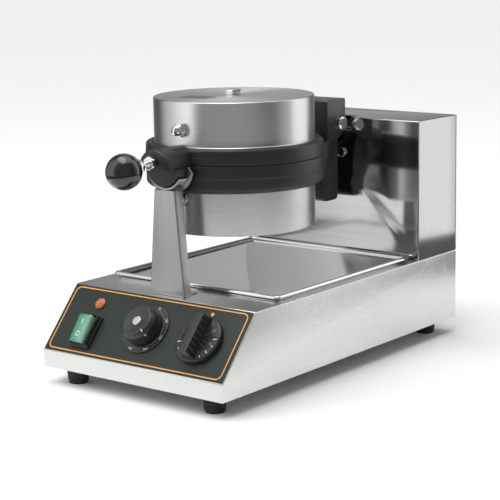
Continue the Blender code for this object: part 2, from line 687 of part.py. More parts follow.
def build_tower():
    low = DECK + GAP
    back = BASE_DEPTH - TOWER_SHEET - GAP
    sheet, flange = TOWER_SHEET, COVER_FLANGE
    inner = HALF_WIDTH - sheet
    outside = box((-HALF_WIDTH, TOWER_FRONT, low), (HALF_WIDTH, back, TOWER_TOP))
    tower = part("tower_housing", outside, "mirror_steel", "base")
    notch_x, notch_y, notch_z = NOTCH_WIDTH / 2, TOWER_FRONT + NOTCH_DEPTH, AXIS_Z + NOTCH_FLOOR
    cavity = add_object("tower_cavity", box(
        (-inner, TOWER_FRONT + sheet, low - sheet), (inner, back - sheet, TOWER_TOP - sheet)), "base")
    cavity["body"] = "base"
    cavity.hide_render = True
    cavity.display_type = "WIRE"
    around_notch = box(
        (-notch_x - sheet, TOWER_FRONT, notch_z - sheet), (notch_x + sheet, notch_y + sheet, TOWER_TOP))
    cut(cavity, around_notch)
    hollow = tower.modifiers.new("Cavity", "BOOLEAN")
    hollow.object = cavity
    cut(tower, box((-notch_x, TOWER_FRONT - sheet, notch_z), (notch_x, notch_y, TOWER_TOP + sheet)))
    rear_opening = box(
        (flange - inner, back - 2 * sheet, low - sheet), (inner - flange, back + sheet, TOWER_TOP - flange))
    cut(tower, rear_opening)
    shaft_hole = SHAFT_RADIUS + SHAFT_HOLE_CLEARANCE
    cut(tower, rod(shaft_hole, -2 * sheet, 2 * sheet, SMALL, facing_back(0, TOWER_FRONT, AXIS_Z)))
    for side in (-1, 1):
        place = facing_back(side * BEARING_BOLT_X, TOWER_FRONT, AXIS_Z - BEARING_BOLT_DROP)
        cut(tower, rod(BOLT_SHANK + GAP, -2 * sheet, 2 * sheet, FINE, place))

    solid = box((-HALF_WIDTH, back + GAP, low), (HALF_WIDTH, BASE_DEPTH, TOWER_TOP))
    cover = part("tower_rear_cover", solid, "sheet_steel", "base")
    vent_low = (low + TOWER_TOP) / 2 - (VENT_ROWS - 1) / 2 * VENT_PITCH
    for side in (-1, 1):
        for row in range(VENT_ROWS):
            z, x = vent_low + row * VENT_PITCH, side * VENT_CENTRE_X
            cut(cover, box((x - VENT_WIDTH / 2, back - sheet, z - VENT_HEIGHT / 2),
                           (x + VENT_WIDTH / 2, BASE_DEPTH + sheet, z + VENT_HEIGHT / 2)))
    screw_x = inner - flange / 2
    for row, z in (("lower", low + COVER_SCREW_INSET), ("upper", TOWER_TOP - COVER_SCREW_INSET)):
        for side, x in (("left", -screw_x), ("right", screw_x)):
            place = facing_back(x, BASE_DEPTH, z)
            cut(cover, rod(SCREW_SHANK + GAP, -4 * sheet, 4 * sheet, FINE, place))
            cut(tower, rod(SCREW_SHANK + GAP, -4 * sheet, 4 * sheet, FINE, place))
            screw(f"cover_screw_{row}_{side}", place, length=COVER_SCREW_LENGTH)


def build_bearing():
    lug_front = TOWER_FRONT + TOWER_SHEET + GAP
    low, top = AXIS_Z - BEARING_DROP, AXIS_Z + BEARING_RISE
    half = BEARING_WIDTH / 2
    outline = filleted([
        (-half, low, 0), (half, low, 0), (half, top, BEARING_CORNER), (-half, top, BEARING_CORNER)])
    solid = extruded(outline, "Y", BEARING_FRONT, BEARING_BACK)
    bearing = part("bearing_block", solid, "black_casting", "base")
    lug, lug_back = BEARING_LUG_WIDTH / 2, BEARING_FRONT + BEARING_LENGTH * 0.16
    lug_top = AXIS_Z - SHAFT_RADIUS - BEARING_LUG_CLEARANCE
    join(bearing, box((-lug, lug_front, low), (lug, lug_back, lug_top)))
    cut(bearing, rod(BUSH_RADIUS + GAP, -DEEP, DEEP, SMALL, facing_back(0, BEARING_BACK, AXIS_Z)))
    bolt_z = AXIS_Z - BEARING_BOLT_DROP
    for side, name in ((-1, "left"), (1, "right")):
        place = facing_front(side * BEARING_BOLT_X, TOWER_FRONT, bolt_z)
        cut(bearing, rod(BOLT_SHANK + GAP, -BOLT_LENGTH - 0.002, BOLT_HEAD, FINE, place))
        head = hexagon(BOLT_FLATS, GAP, GAP + BOLT_HEAD, place)
        bolt = part(f"bearing_bolt_{name}", head, "chrome", "base")
        join(bolt, rod(BOLT_SHANK, -BOLT_LENGTH, GAP + BOLT_HEAD / 2, FINE, place))

    flange_low, flange_high = BEARING_LENGTH + GAP, BEARING_LENGTH + GAP + BUSH_FLANGE
    flange_radius = BUSH_RADIUS + BUSH_FLANGE_REACH
    bush = [
        (BUSH_BORE, -0.001), (BUSH_RADIUS, -0.001), (BUSH_RADIUS, flange_low),
        (flange_radius, flange_low), (flange_radius, flange_high), (BUSH_BORE, flange_high),
    ]
    part("bearing_bush", turned(bush, SMALL, facing_back(0, BEARING_FRONT, AXIS_Z)), "bronze", "base")

    collar_front = BEARING_BACK + BUSH_FLANGE + COLLAR_GAP
    collar_back = collar_front + COLLAR_LENGTH
    place = facing_back(0, collar_front, AXIS_Z)
    collar = part("shaft_collar", rod(COLLAR_RADIUS, 0, COLLAR_LENGTH, SMALL, place), "chrome", "lower_iron")
    lug_low = AXIS_Z - COLLAR_LUG_HALF
    join(collar, box((SHAFT_RADIUS + 0.002, collar_front + 0.001, lug_low),
                     (COLLAR_RADIUS + COLLAR_LUG_REACH, collar_back - 0.001, AXIS_Z + COLLAR_LUG_HALF)))
    cut(collar, rod(SHAFT_RADIUS + GAP, -DEEP, DEEP, SMALL, place))

    solid = box((-STOP_WIDTH / 2, BEARING_BACK + GAP, low), (STOP_WIDTH / 2, collar_back, lug_low - GAP))
    stop = part("rotation_stop", solid, "black_casting", "base")
    cut(stop, rod(COLLAR_RADIUS + 2 * GAP, -DEEP, DEEP, SMALL, place))

    shaft_front = BLOCK_BACK - SHAFT_SOCKET + GAP
    length = collar_back + SHAFT_PAST_COLLAR - shaft_front
    tube = [(SHAFT_BORE, 0), (SHAFT_RADIUS, 0), (SHAFT_RADIUS, length), (SHAFT_BORE, length)]
    part("rotation_shaft", turned(tube, SMALL, facing_back(0, shaft_front, AXIS_Z)), "chrome", "lower_iron")


# ---------------------------------------------------------------- front post


def build_post():
    low, top = DECK + GAP, POST_TOP
    sheet = POST_SHEET

    def channel(front, inset, back_reach):
        loops = []
        ends = ((low, POST_BOTTOM_WIDTH, POST_BOTTOM_DEPTH), (top, POST_TOP_WIDTH, POST_TOP_DEPTH))
        for z, width, depth in ends:
            half, back = width / 2 - inset, POST_FRONT + depth + back_reach
            loops.append([(-half, front, z), (half, front, z), (half, back, z), (-half, back, z)])
        return loops

    post = part("front_post", lofted(channel(POST_FRONT, 0, 0)), "sheet_steel", "base")
    inner = channel(POST_FRONT + sheet, sheet, 0.01)
    slant = [Vector(b) - Vector(a) for a, b in zip(*inner)]
    longer = [[Vector(p) + s * share for p, s in zip(row, slant)] for row, share in zip(inner, (-0.05, 0.05))]
    cut(post, lofted(longer))
    half = POST_FOOT_WIDTH / 2
    join(post, box((-half, POST_FRONT + sheet / 2, low), (half, POST_FRONT + POST_FOOT_REACH, low + sheet)))
    for side, name in ((-1, "left"), (1, "right")):
        place = at(side * POST_SCREW_X, POST_FRONT + POST_SCREW_Y, low + sheet)
        cut(post, rod(SCREW_SHANK + GAP, -2 * sheet, sheet, FINE, place))
        screw(f"post_screw_{name}", place, head=POST_SCREW_HEAD, height=POST_SCREW_HEIGHT)

    inner_r = JOURNAL_RADIUS + CRADLE_CLEARANCE
    trough_r, ring_r = inner_r + CRADLE_TROUGH, inner_r + CRADLE_RING
    centre = (0, AXIS_Z)
    plate_front = POST_FRONT + POST_TOP_DEPTH + GAP
    ring = arc(centre, inner_r, 180, 360, 16) + arc(centre, ring_r, 348, 192, 14)
    solid = extruded(ring, "Y", plate_front, plate_front + CRADLE_PLATE)
    cradle = part("post_cradle", solid, "sheet_steel", "base")
    trough = arc(centre, inner_r, 210, 330, 12) + arc(centre, trough_r, 330, 210, 12)
    join(cradle, extruded(trough, "Y", POST_FRONT + 0.0005, plate_front + 0.001))


# ---------------------------------------------------------------- irons


def iron_pieces(name, way, rim_height, housing_height, nut_offset):
    """One half of the iron. way is 1 for the upper half and -1 for the lower one."""
    body = f"{name}_iron"
    place = at(0, IRON_Y, AXIS_Z) @ Matrix.Diagonal((1, way, way, 1))
    face = GAP
    shelf = SHELF_HEIGHT

    rim = [
        (SHELF_RADIUS, face), (RIM_RADIUS - RIM_CHAMFER, face), (RIM_RADIUS, face + RIM_CHAMFER),
        (RIM_RADIUS, rim_height - RIM_ROUND), (RIM_RADIUS - RIM_ROUND * 0.3, rim_height - RIM_ROUND * 0.3),
        (RIM_RADIUS - RIM_ROUND, rim_height), (SEAT_RADIUS, rim_height), (SEAT_RADIUS, shelf),
        (SHELF_RADIUS, shelf),
    ]
    ring = part(f"{name}_ring", turned(rim, LARGE, place), "black_casting", body)

    plate_r, flange_r = SHELF_RADIUS - GAP, SEAT_RADIUS - GAP
    bake_r, bake_z = plate_r - BAKING_FACE_RIM, face + GAP + BAKING_FACE_RECESS
    boss_r, boss_z = PLATE_BOSS_RADIUS, PLATE_THICKNESS + PLATE_BOSS_HEIGHT
    hole_z = boss_z - PLATE_TAPPING
    plate = [
        (0, bake_z), (bake_r, bake_z), (bake_r, face + GAP), (plate_r, face + GAP), (plate_r, shelf + GAP),
        (flange_r, shelf + GAP), (flange_r, PLATE_THICKNESS), (boss_r, PLATE_THICKNESS), (boss_r, boss_z),
        (CENTRE_BOLT_SHANK + GAP, boss_z), (CENTRE_BOLT_SHANK + GAP, hole_z), (0, hole_z),
    ]
    part(f"{name}_plate", turned(plate, INNER, place), "baking_iron", body)

    tube_z = PLATE_THICKNESS + GAP + ELEMENT_TUBE
    loops = []
    for step in range(INNER + 1):
        turn = math.radians(110 + ELEMENT_SWEEP * step / INNER)
        ring_points = arc((ELEMENT_RADIUS, tube_z), ELEMENT_TUBE, 22.5, 337.5, 7)
        loops.append([(r * math.cos(turn), r * math.sin(turn), z) for r, z in ring_points])
    part(f"{name}_heating_element", lofted(loops, place), "element_steel", body)

    clamp_z = tube_z + ELEMENT_TUBE + GAP
    clamp_top, clamp_bore = clamp_z + CLAMP_SHEET, boss_r + GAP
    clamp = [
        (clamp_bore, clamp_z), (CLAMP_RADIUS, clamp_z), (CLAMP_RADIUS, clamp_top), (clamp_bore, clamp_top)]
    part(f"{name}_element_clamp", turned(clamp, INNER, place), "sheet_steel", body)

    brim, brim_r, top = PLATE_THICKNESS + GAP, SEAT_RADIUS - GAP, housing_height
    wall_r, inner_r, bend = HOUSING_RADIUS, HOUSING_RADIUS - HOUSING_SHEET, HOUSING_SHEET
    hole_r = CENTRE_BOLT_SHANK + GAP
    shell = [
        (inner_r, brim), (brim_r, brim), (brim_r, brim + HOUSING_SHEET), (wall_r, brim + HOUSING_SHEET),
        (wall_r, top - bend), (wall_r - bend * 0.3, top - bend * 0.3), (wall_r - bend, top), (hole_r, top),
        (hole_r, top - HOUSING_SHEET), (inner_r, top - HOUSING_SHEET),
    ]
    housing = part(f"{name}_housing", turned(shell, LARGE, place), "brushed_steel", body)

    head = hexagon(CENTRE_BOLT_FLATS, top + GAP, top + GAP + CENTRE_BOLT_HEAD, place)
    bolt = part(f"{name}_centre_bolt", head, "chrome", body)
    join(bolt, rod(CENTRE_BOLT_SHANK, hole_z + GAP, top + GAP + CENTRE_BOLT_HEAD / 2, FINE, place))

    nut_place = facing_front(0, IRON_Y - HOUSING_RADIUS, AXIS_Z + way * nut_offset)
    cut(housing, rod(CAP_NUT_STUD + GAP, -4 * HOUSING_SHEET, 4 * HOUSING_SHEET, FINE, nut_place))
    stud, nut_r, nut_h = CAP_NUT_STUD, CAP_NUT_FLATS / 2 - 0.001, CAP_NUT_HEX
    dome = [(0, -CAP_NUT_STUD_LENGTH), (stud, -CAP_NUT_STUD_LENGTH), (stud, nut_h / 2), (nut_r, nut_h / 2)]
    dome += [(nut_r * math.cos(a), nut_h + (CAP_NUT_REACH - nut_h) * math.sin(a)) for a in (0, 0.4, 0.8, 1.2)]
    dome += [(0, CAP_NUT_REACH)]
    nut = part(f"{name}_cap_nut", hexagon(CAP_NUT_FLATS, GAP, nut_h, nut_place), "chrome", body)
    join(nut, turned(dome, SMALL, nut_place))
    return ring


def half_round(radius, way, front, back):
    """Half a cylinder along the turning axis, above it or below it."""
    start = 0 if way > 0 else 180
    arc_points = arc((0, AXIS_Z + way * GAP), radius - GAP, start, start + 180, 16)
    return extruded(arc_points, "Y", front, back)


def build_irons():
    into_rim = RIM_RADIUS - RIM_LIP * 0.8
    upper = iron_pieces("upper", 1, UPPER_RIM_HEIGHT, UPPER_HOUSING_HEIGHT, CAP_NUT_OFFSET_UP)
    lower = iron_pieces("lower", -1, LOWER_RIM_HEIGHT, LOWER_HOUSING_HEIGHT, CAP_NUT_OFFSET_DOWN)
    join(upper, half_round(BOSS_RADIUS, 1, IRON_Y + into_rim, BOSS_END))
    join(lower, half_round(JOURNAL_RADIUS, -1, JOURNAL_FRONT, IRON_Y - into_rim))
    join(lower, half_round(BOSS_RADIUS, -1, IRON_Y + into_rim, BLOCK_FRONT - GAP))
    solid = half_round(UPPER_JOURNAL_RADIUS, 1, UPPER_JOURNAL_FRONT, IRON_Y - into_rim)
    journal = part("upper_journal", solid, "black_casting", "upper_iron")
    cut(journal, rod(RIM_RADIUS + GAP, AXIS_Z - DEEP, AXIS_Z + DEEP, 2 * LARGE, at(0, IRON_Y, 0)))
    cut(journal, rod(ROD_RADIUS + GAP, -ROD_SOCKET - GAP, THROUGH, FINE, HANDLE))


# ---------------------------------------------------------------- hinge


def build_hinge():
    front, back = BRACKET_FRONT, BRACKET_FRONT + BRACKET_DEPTH
    low, top = AXIS_Z + 2 * GAP, AXIS_Z + BRACKET_RISE
    half, sheet = BRACKET_WIDTH / 2, BRACKET_SHEET
    side = filleted([
        (front, low, 0), (PIN_Y - 0.0096, low, 0.001), (back - 0.0020, PIN_Z - 0.0095, 0.009),
        (back, PIN_Z, 0.004), (back, top, 0.0015), (front, top, 0.0015),
    ])
    bracket = part("hinge_bracket", extruded(side, "X", -half, half), "black_casting", "upper_iron")
    cut(bracket, box((sheet - half, front + sheet, low - sheet), (half - sheet, back + sheet, top - sheet)))
    across = at(0, PIN_Y, PIN_Z) @ Matrix.Rotation(math.pi / 2, 4, "Y")
    cut(bracket, rod(PIN_RADIUS + GAP, -half - sheet, half + sheet, SMALL, across))

    ear = BRACKET_FRONT + BRACKET_DEPTH - PIN_Y
    step_y, step_z = front + sheet + 2 * GAP, AXIS_Z - GAP
    block_low = AXIS_Z - BLOCK_DROP
    outline = filleted([
        (BLOCK_FRONT, step_z, 0), (BLOCK_FRONT, block_low, 0.006), (BLOCK_BACK, block_low, 0.006),
        (BLOCK_BACK, PIN_Z - ear - 0.004, 0),
    ])
    outline += arc((PIN_Y, PIN_Z), ear, -75, 150, 10)
    outline += [(step_y, PIN_Z - 0.006), (step_y, step_z)]
    block_half = BLOCK_WIDTH / 2
    solid = extruded(outline, "X", -block_half, block_half)
    block = part("hinge_block", solid, "black_casting", "lower_iron")
    cut(block, rod(PIN_RADIUS + GAP, -DEEP, DEEP, SMALL, across))
    cut(block, rod(SHAFT_RADIUS + GAP, -SHAFT_SOCKET, DEEP / 4, SMALL, facing_back(0, BLOCK_BACK, AXIS_Z)))

    outside = half + GAP
    head = [
        (0, -outside - PIN_TAIL), (PIN_RADIUS, -outside - PIN_TAIL), (PIN_RADIUS, outside),
        (PIN_HEAD_RADIUS, outside), (PIN_HEAD_RADIUS, outside + PIN_HEAD_HEIGHT * 0.6),
        (PIN_HEAD_RADIUS * 0.8, outside + PIN_HEAD_HEIGHT), (0, outside + PIN_HEAD_HEIGHT),
    ]
    pin = part("hinge_pin", turned(head, SMALL, across), "chrome", "lower_iron")
    slot_low = outside + PIN_HEAD_HEIGHT * 0.5
    reach = 2 * PIN_HEAD_RADIUS
    cut(pin, box((-PIN_SLOT / 2, -reach, slot_low), (PIN_SLOT / 2, reach, DEEP), across))
    nut_solid = hexagon(PIN_NUT_FLATS, -outside - PIN_NUT_HEIGHT, -outside, across)
    nut = part("hinge_pin_nut", nut_solid, "chrome", "lower_iron")
    cut(nut, rod(PIN_RADIUS + GAP, -DEEP, DEEP, SMALL, across))


# ---------------------------------------------------------------- handle


def build_handle():
    """Rod, lock nut, ferrule and ball, all on one line that droops a little towards the front."""
    rod_end = HANDLE_LENGTH + BALL_RADIUS * 0.4
    part("handle_rod", rod(ROD_RADIUS, -ROD_SOCKET, rod_end, FINE, HANDLE), "chrome", "upper_iron")
    bore = ROD_RADIUS + GAP
    nut_high = LOCK_NUT_STANDOFF + LOCK_NUT_HEIGHT
    lock_nut = part("handle_lock_nut", hexagon(LOCK_NUT_FLATS, LOCK_NUT_STANDOFF, nut_high, HANDLE),
                    "chrome", "upper_iron")
    cut(lock_nut, rod(bore, 0, HANDLE_LENGTH, FINE, HANDLE))
    ball_back = HANDLE_LENGTH - math.sqrt(BALL_RADIUS**2 - BALL_FLAT**2)
    ferrule_high = ball_back - GAP
    solid = hexagon(FERRULE_FLATS, ferrule_high - FERRULE_LENGTH, ferrule_high, HANDLE)
    ferrule = part("handle_ferrule", solid, "chrome", "upper_iron")
    cut(ferrule, rod(bore, 0, HANDLE_LENGTH, FINE, HANDLE))
    profile = [(0, rod_end + GAP), (bore, rod_end + GAP), (bore, ball_back)]
    start = math.degrees(math.atan2(ball_back - HANDLE_LENGTH, BALL_FLAT))
    profile += arc((0, HANDLE_LENGTH), BALL_RADIUS, start, 90, 13)
    profile[-1] = (0, HANDLE_LENGTH + BALL_RADIUS)
    part("handle_ball", turned(profile, SMALL, HANDLE), "black_plastic", "upper_iron")


for old in list(bpy.data.objects):
    bpy.data.objects.remove(old)

MADE = {name: make_material(name, *look) for name, look in MATERIALS.items()}

FRONT_END = BALL_Y - BALL_RADIUS
BACK_END = BASE_DEPTH + GLAND_REACH
machine = add_empty("waffle_cone_maker", None, (0, -(FRONT_END + BACK_END) / 2, 0))

JOINT_POINTS = {
    "base": (0, 0, 0),
    "power_rocker": on_panel(-SIDE_ITEM_X, SWITCH_UP) @ Vector((0, 0, ROCKER_PIVOT)),
    "thermostat_knob": on_panel(0, THERMOSTAT_UP).translation,
    "timer_knob": on_panel(SIDE_ITEM_X, TIMER_UP).translation,
    "drip_tray": (0, TRAY_FRONT, DECK),
    "lower_iron": (0, IRON_Y, AXIS_Z),
}
BODIES = {}
for name, point in JOINT_POINTS.items():
    BODIES[name] = (add_empty(f"{name}_body", machine, point), Vector(point))
pin_point = Vector((0, PIN_Y, PIN_Z))
lower_empty, lower_point = BODIES["lower_iron"]
BODIES["upper_iron"] = (add_empty("upper_iron_body", lower_empty, pin_point - lower_point), pin_point)

build_base()
build_inlet()
build_panel()
build_switch()
build_knobs()
build_tray()
build_tower()
build_bearing()
build_post()
build_irons()
build_hinge()
build_handle()
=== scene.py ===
"""The waffle cone maker: what shows of each piece, built round its fixed frame in the order of assembly.

Metres, +Z up. The controls face -Y, and +X is the right-hand side seen from the controls.
"""

import json
import math

import bmesh
import bpy
from mathutils import Matrix, Vector


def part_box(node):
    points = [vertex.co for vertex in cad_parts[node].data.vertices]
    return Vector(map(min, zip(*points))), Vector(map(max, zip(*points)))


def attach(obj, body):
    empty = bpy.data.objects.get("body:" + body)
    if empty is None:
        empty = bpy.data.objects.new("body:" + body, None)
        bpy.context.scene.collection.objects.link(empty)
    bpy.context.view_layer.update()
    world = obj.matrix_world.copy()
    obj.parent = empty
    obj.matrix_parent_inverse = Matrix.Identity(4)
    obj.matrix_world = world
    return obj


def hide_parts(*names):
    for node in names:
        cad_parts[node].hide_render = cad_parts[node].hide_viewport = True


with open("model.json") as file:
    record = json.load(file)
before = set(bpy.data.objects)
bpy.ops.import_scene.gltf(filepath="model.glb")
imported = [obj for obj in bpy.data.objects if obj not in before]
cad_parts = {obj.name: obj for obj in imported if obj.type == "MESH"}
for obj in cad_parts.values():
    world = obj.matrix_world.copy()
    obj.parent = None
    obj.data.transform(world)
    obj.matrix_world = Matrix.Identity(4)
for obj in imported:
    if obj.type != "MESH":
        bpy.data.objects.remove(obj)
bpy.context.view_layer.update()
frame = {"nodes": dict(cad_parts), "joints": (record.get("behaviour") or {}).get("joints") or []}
joints = {joint["name"]: joint for joint in frame["joints"]}

# ------------------------------------------------------------ base housing
# The lower box: one sheet of satin stainless, folded down over the lip, the control slope and the deck,
# with the two sides let in and their corners ground smooth. It is open underneath.

base_low, base_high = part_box("base_housing")
half_width = base_high.x
lip_y, back_y, under_z, deck_z = base_low.y, base_high.y, base_low.z, base_high.z
lip_top = under_z + 0.0192
slope_run = 0.0565
side_corner = 0.0009
base_sheet = 0.0015
base_bend = 0.0019


def alone(piece):
    """Deselects everything else, so that the next operator acts on this piece only."""
    bpy.ops.object.select_all(action="DESELECT")
    piece.select_set(True)
    bpy.context.view_layer.objects.active = piece
    return piece


def begin(name, kind, **size):
    """A named primitive, alone in the selection."""
    bpy.ops.object.select_all(action="DESELECT")
    getattr(bpy.ops.mesh, f"primitive_{kind}_add")(**size)
    piece = bpy.context.object
    piece.name = piece.data.name = name
    return piece


def draw(name, points):
    """A line drawn point by point: a plane merged to its middle, moved to the start, then extruded along."""
    piece = begin(name, "plane", size=0.001)
    bpy.ops.object.mode_set(mode="EDIT")
    bpy.ops.mesh.select_mode(type="VERT")
    bpy.ops.mesh.select_all(action="SELECT")
    bpy.ops.mesh.merge(type="CENTER")
    here = Vector(points[0])
    bpy.ops.transform.translate(value=here)
    for point in points[1:]:
        step = Vector(point) - here
        bpy.ops.mesh.extrude_region_move(TRANSFORM_OT_translate={"value": step})
        here = Vector(point)
    bpy.ops.mesh.select_all(action="SELECT")
    return piece


def clean():
    """Closes the seams of the mesh being edited, turns its faces outwards and leaves edit mode."""
    bpy.ops.mesh.select_all(action="SELECT")
    bpy.ops.mesh.remove_doubles(threshold=1e-6)
    bpy.ops.mesh.normals_make_consistent(inside=False)
    bpy.ops.object.mode_set(mode="OBJECT")


def prism(name, outline, low, high):
    """A flat outline in local X and Y, filled and extruded from one local Z to the other."""
    piece = draw(name, [(x, y, low) for x, y in outline])
    bpy.ops.mesh.edge_face_add()
    bpy.ops.mesh.extrude_region_move(TRANSFORM_OT_translate={"value": (0, 0, high - low)})
    clean()
    return piece


def rounded(corners, steps=5, closed=True):
    """An outline through (a, b, radius) corners, each turned by an arc of its own radius."""
    points = []
    for i, (a, b, radius) in enumerate(corners):
        if radius == 0 or (not closed and i in (0, len(corners) - 1)):
            points.append((a, b))
            continue
        here = Vector((a, b))
        back = (Vector(corners[i - 1][:2]) - here).normalized()
        ahead = (Vector(corners[(i + 1) % len(corners)][:2]) - here).normalized()
        half = back.angle(ahead) / 2
        centre = here + (back + ahead).normalized() * radius / math.sin(half)
        start = (here + back * radius / math.tan(half) - centre).normalized()
        end = (here + ahead * radius / math.tan(half) - centre).normalized()
        points += [tuple(centre + start.slerp(end, k / steps) * radius) for k in range(steps + 1)]
    return points


def select(piece, test, kind="faces"):
    """In edit mode, leaves selected only what passes the test, given its middle and normal or direction."""
    mode = {"faces": "FACE", "edges": "EDGE", "verts": "VERT"}[kind]
    bpy.ops.mesh.select_mode(type=mode)
    bpy.ops.mesh.select_all(action="DESELECT")
    mesh = bmesh.from_edit_mesh(piece.data)
    for element in getattr(mesh, kind):
        if kind == "faces":
            chosen = test(element.calc_center_median(), element.normal)
        elif kind == "edges":
            ends = [vert.co for vert in element.verts]
            chosen = test((ends[0] + ends[1]) / 2, (ends[1] - ends[0]).normalized())
        else:
            chosen = test(element.co)
        element.select = chosen
    mesh.select_flush_mode()
    bmesh.update_edit_mesh(piece.data)


def modify(piece, kind, **settings):
    """Adds a modifier and applies it."""
    alone(piece)
    modifier = piece.modifiers.new(kind.title(), kind)
    for key, value in settings.items():
        setattr(modifier, key, value)
    bpy.ops.object.modifier_apply(modifier=modifier.name)
    return piece


def soften(piece, width, segments=3, angle=30):
    """Rounds every edge sharper than the angle."""
    return modify(piece, "BEVEL", width=width, segments=segments, limit_method="ANGLE",
                  angle_limit=math.radians(angle), use_clamp_overlap=True)


def carve(piece, operation, *tools):
    """Cuts the tools out of a piece, welds them on or keeps what they share, and throws them away."""
    for tool in tools:
        modify(piece, "BOOLEAN", operation=operation, object=tool)
        bpy.data.objects.remove(tool)
    return piece


def settle(piece, place, body, slot, material, *nodes, smooth=30):
    """Carries a finished piece to its place in the mesh, shades it and hands it to its body of the frame."""
    alone(piece)
    piece.matrix_world = place
    bpy.ops.object.transform_apply(location=True, rotation=True, scale=True)
    bpy.ops.object.shade_smooth_by_angle(angle=math.radians(smooth))
    piece.data.materials.clear()
    piece.data.materials.append(material)
    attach(piece, body)
    if nodes:
        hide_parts(*nodes)
    return piece


def refinish(node, material):
    """A piece of the frame whose shape is right as it is gets its real finish."""
    for paint in frame["nodes"][node].material_slots:
        paint.material = material


def wire(tree, kind, inputs, **settings):
    """A shader node with its settings, and each input given a value or joined to another node's output."""
    made = tree.nodes.new(kind)
    for key, value in settings.items():
        setattr(made, key, value)
    for key, value in inputs.items():
        if isinstance(value, bpy.types.NodeSocket):
            tree.links.new(value, made.inputs[key])
        else:
            made.inputs[key].default_value = value
    return made


def sums(tree, operation, *values):
    """One step of arithmetic."""
    return wire(tree, "ShaderNodeMath", dict(enumerate(values)), operation=operation).outputs[0]


def effect(name, inputs, outputs):
    """An empty node group with its sockets: (tree, its inputs, a function that joins its outputs)."""
    tree = bpy.data.node_groups.new(name, "ShaderNodeTree")
    for label, kind, value in inputs:
        socket = tree.interface.new_socket(name=label, in_out="INPUT", socket_type=f"NodeSocket{kind}")
        if value is not None:
            socket.default_value = value
    for label in outputs:
        tree.interface.new_socket(name=label, in_out="OUTPUT", socket_type="NodeSocketFloat")
    entry = tree.nodes.new("NodeGroupInput")
    leave = tree.nodes.new("NodeGroupOutput")

    def put_out(**results):
        for label, socket in results.items():
            tree.links.new(socket, leave.inputs[label])
        return tree

    return tree, entry.outputs, put_out


def use(tree, group, **inputs):
    """The group placed in a material, with its own values."""
    made = tree.nodes.new("ShaderNodeGroup")
    made.node_tree = group
    for label, value in inputs.items():
        if isinstance(value, bpy.types.NodeSocket):
            tree.links.new(value, made.inputs[label])
        else:
            made.inputs[label].default_value = value
    return made.outputs


def finish_named(name, **constants):
    """A new material: (its tree, its shader, its object coordinates). Constants sit on the shader itself."""
    material = bpy.data.materials.new(name)
    material.use_nodes = True
    tree = material.node_tree
    shader = tree.nodes["Principled BSDF"]
    for key, value in constants.items():
        shader.inputs[key.replace("_", " ")].default_value = value
    coordinates = tree.nodes.new("ShaderNodeTexCoord").outputs["Object"]
    return material, tree, shader, coordinates


def feed(tree, shader, colour, rough, normal):
    """Joins what nearly every finish is made of: its colour, its roughness and its bumps."""
    tree.links.new(colour, shader.inputs["Base Color"])
    tree.links.new(rough, shader.inputs["Roughness"])
    tree.links.new(normal, shader.inputs["Normal"])


def painted(tree, mask, under, over):
    """One colour socket with a plain colour laid over it where the mask is."""
    return wire(tree, "ShaderNodeMix", {"Factor": mask, "A": under, "B": (*over, 1)},
                data_type="RGBA").outputs["Result"]


def blend_between(tree, mask, dark, light):
    """A colour that goes from dark to light with the mask."""
    return wire(tree, "ShaderNodeMix", {"Factor": mask, "A": (*dark, 1), "B": (*light, 1)},
                data_type="RGBA").outputs["Result"]


def number_between(tree, mask, low, high):
    """A number that goes from low to high as the mask goes from 0 to 1."""
    return wire(tree, "ShaderNodeMapRange", {"Value": mask, "To Min": low, "To Max": high}).outputs["Result"]


def raise_by(tree, height, depth, strength=1.0, normal=None):
    """A bump of that depth in metres."""
    inputs = {"Height": height, "Distance": depth, "Strength": strength}
    if normal is not None:
        inputs["Normal"] = normal
    return wire(tree, "ShaderNodeBump", inputs).outputs["Normal"]


# Belt-ground lines: a noise drawn out along one direction, fine streaks over broad ones.
tree, given, put_out = effect(
    "belt grain", [("Vector", "Vector", None), ("Stretch", "Vector", (40, 900, 900))], ["Fine", "Broad"])
drawn = wire(tree, "ShaderNodeVectorMath", {0: given["Vector"], 1: given["Stretch"]}, operation="MULTIPLY")
fine = wire(tree, "ShaderNodeTexNoise", {"Vector": drawn.outputs[0], "Scale": 3.0, "Detail": 3.0})
broad = wire(tree, "ShaderNodeTexNoise", {"Vector": drawn.outputs[0], "Scale": 0.35, "Detail": 2.0})
belt_grain = put_out(Fine=fine.outputs[0], Broad=broad.outputs[0])

# Smears and wiped patches that a cloth leaves on steel, and the few specks of dust that stay.
tree, given, put_out = effect(
    "wipe marks", [("Vector", "Vector", None), ("Scale", "Float", 14.0)], ["Smear", "Specks"])
swirl = wire(tree, "ShaderNodeTexNoise",
             {"Vector": given["Vector"], "Scale": given["Scale"], "Detail": 4.0, "Distortion": 0.8})
smear = wire(tree, "ShaderNodeMapRange", {"Value": swirl.outputs[0], "From Min": 0.38, "From Max": 0.72})
dots = wire(tree, "ShaderNodeTexVoronoi", {"Vector": given["Vector"], "Scale": 260.0})
speck = wire(tree, "ShaderNodeMapRange", {"Value": dots.outputs["Distance"], "From Min": 0.07,
                                          "From Max": 0.03})
wipe_marks = put_out(Smear=smear.outputs[0], Specks=speck.outputs[0])


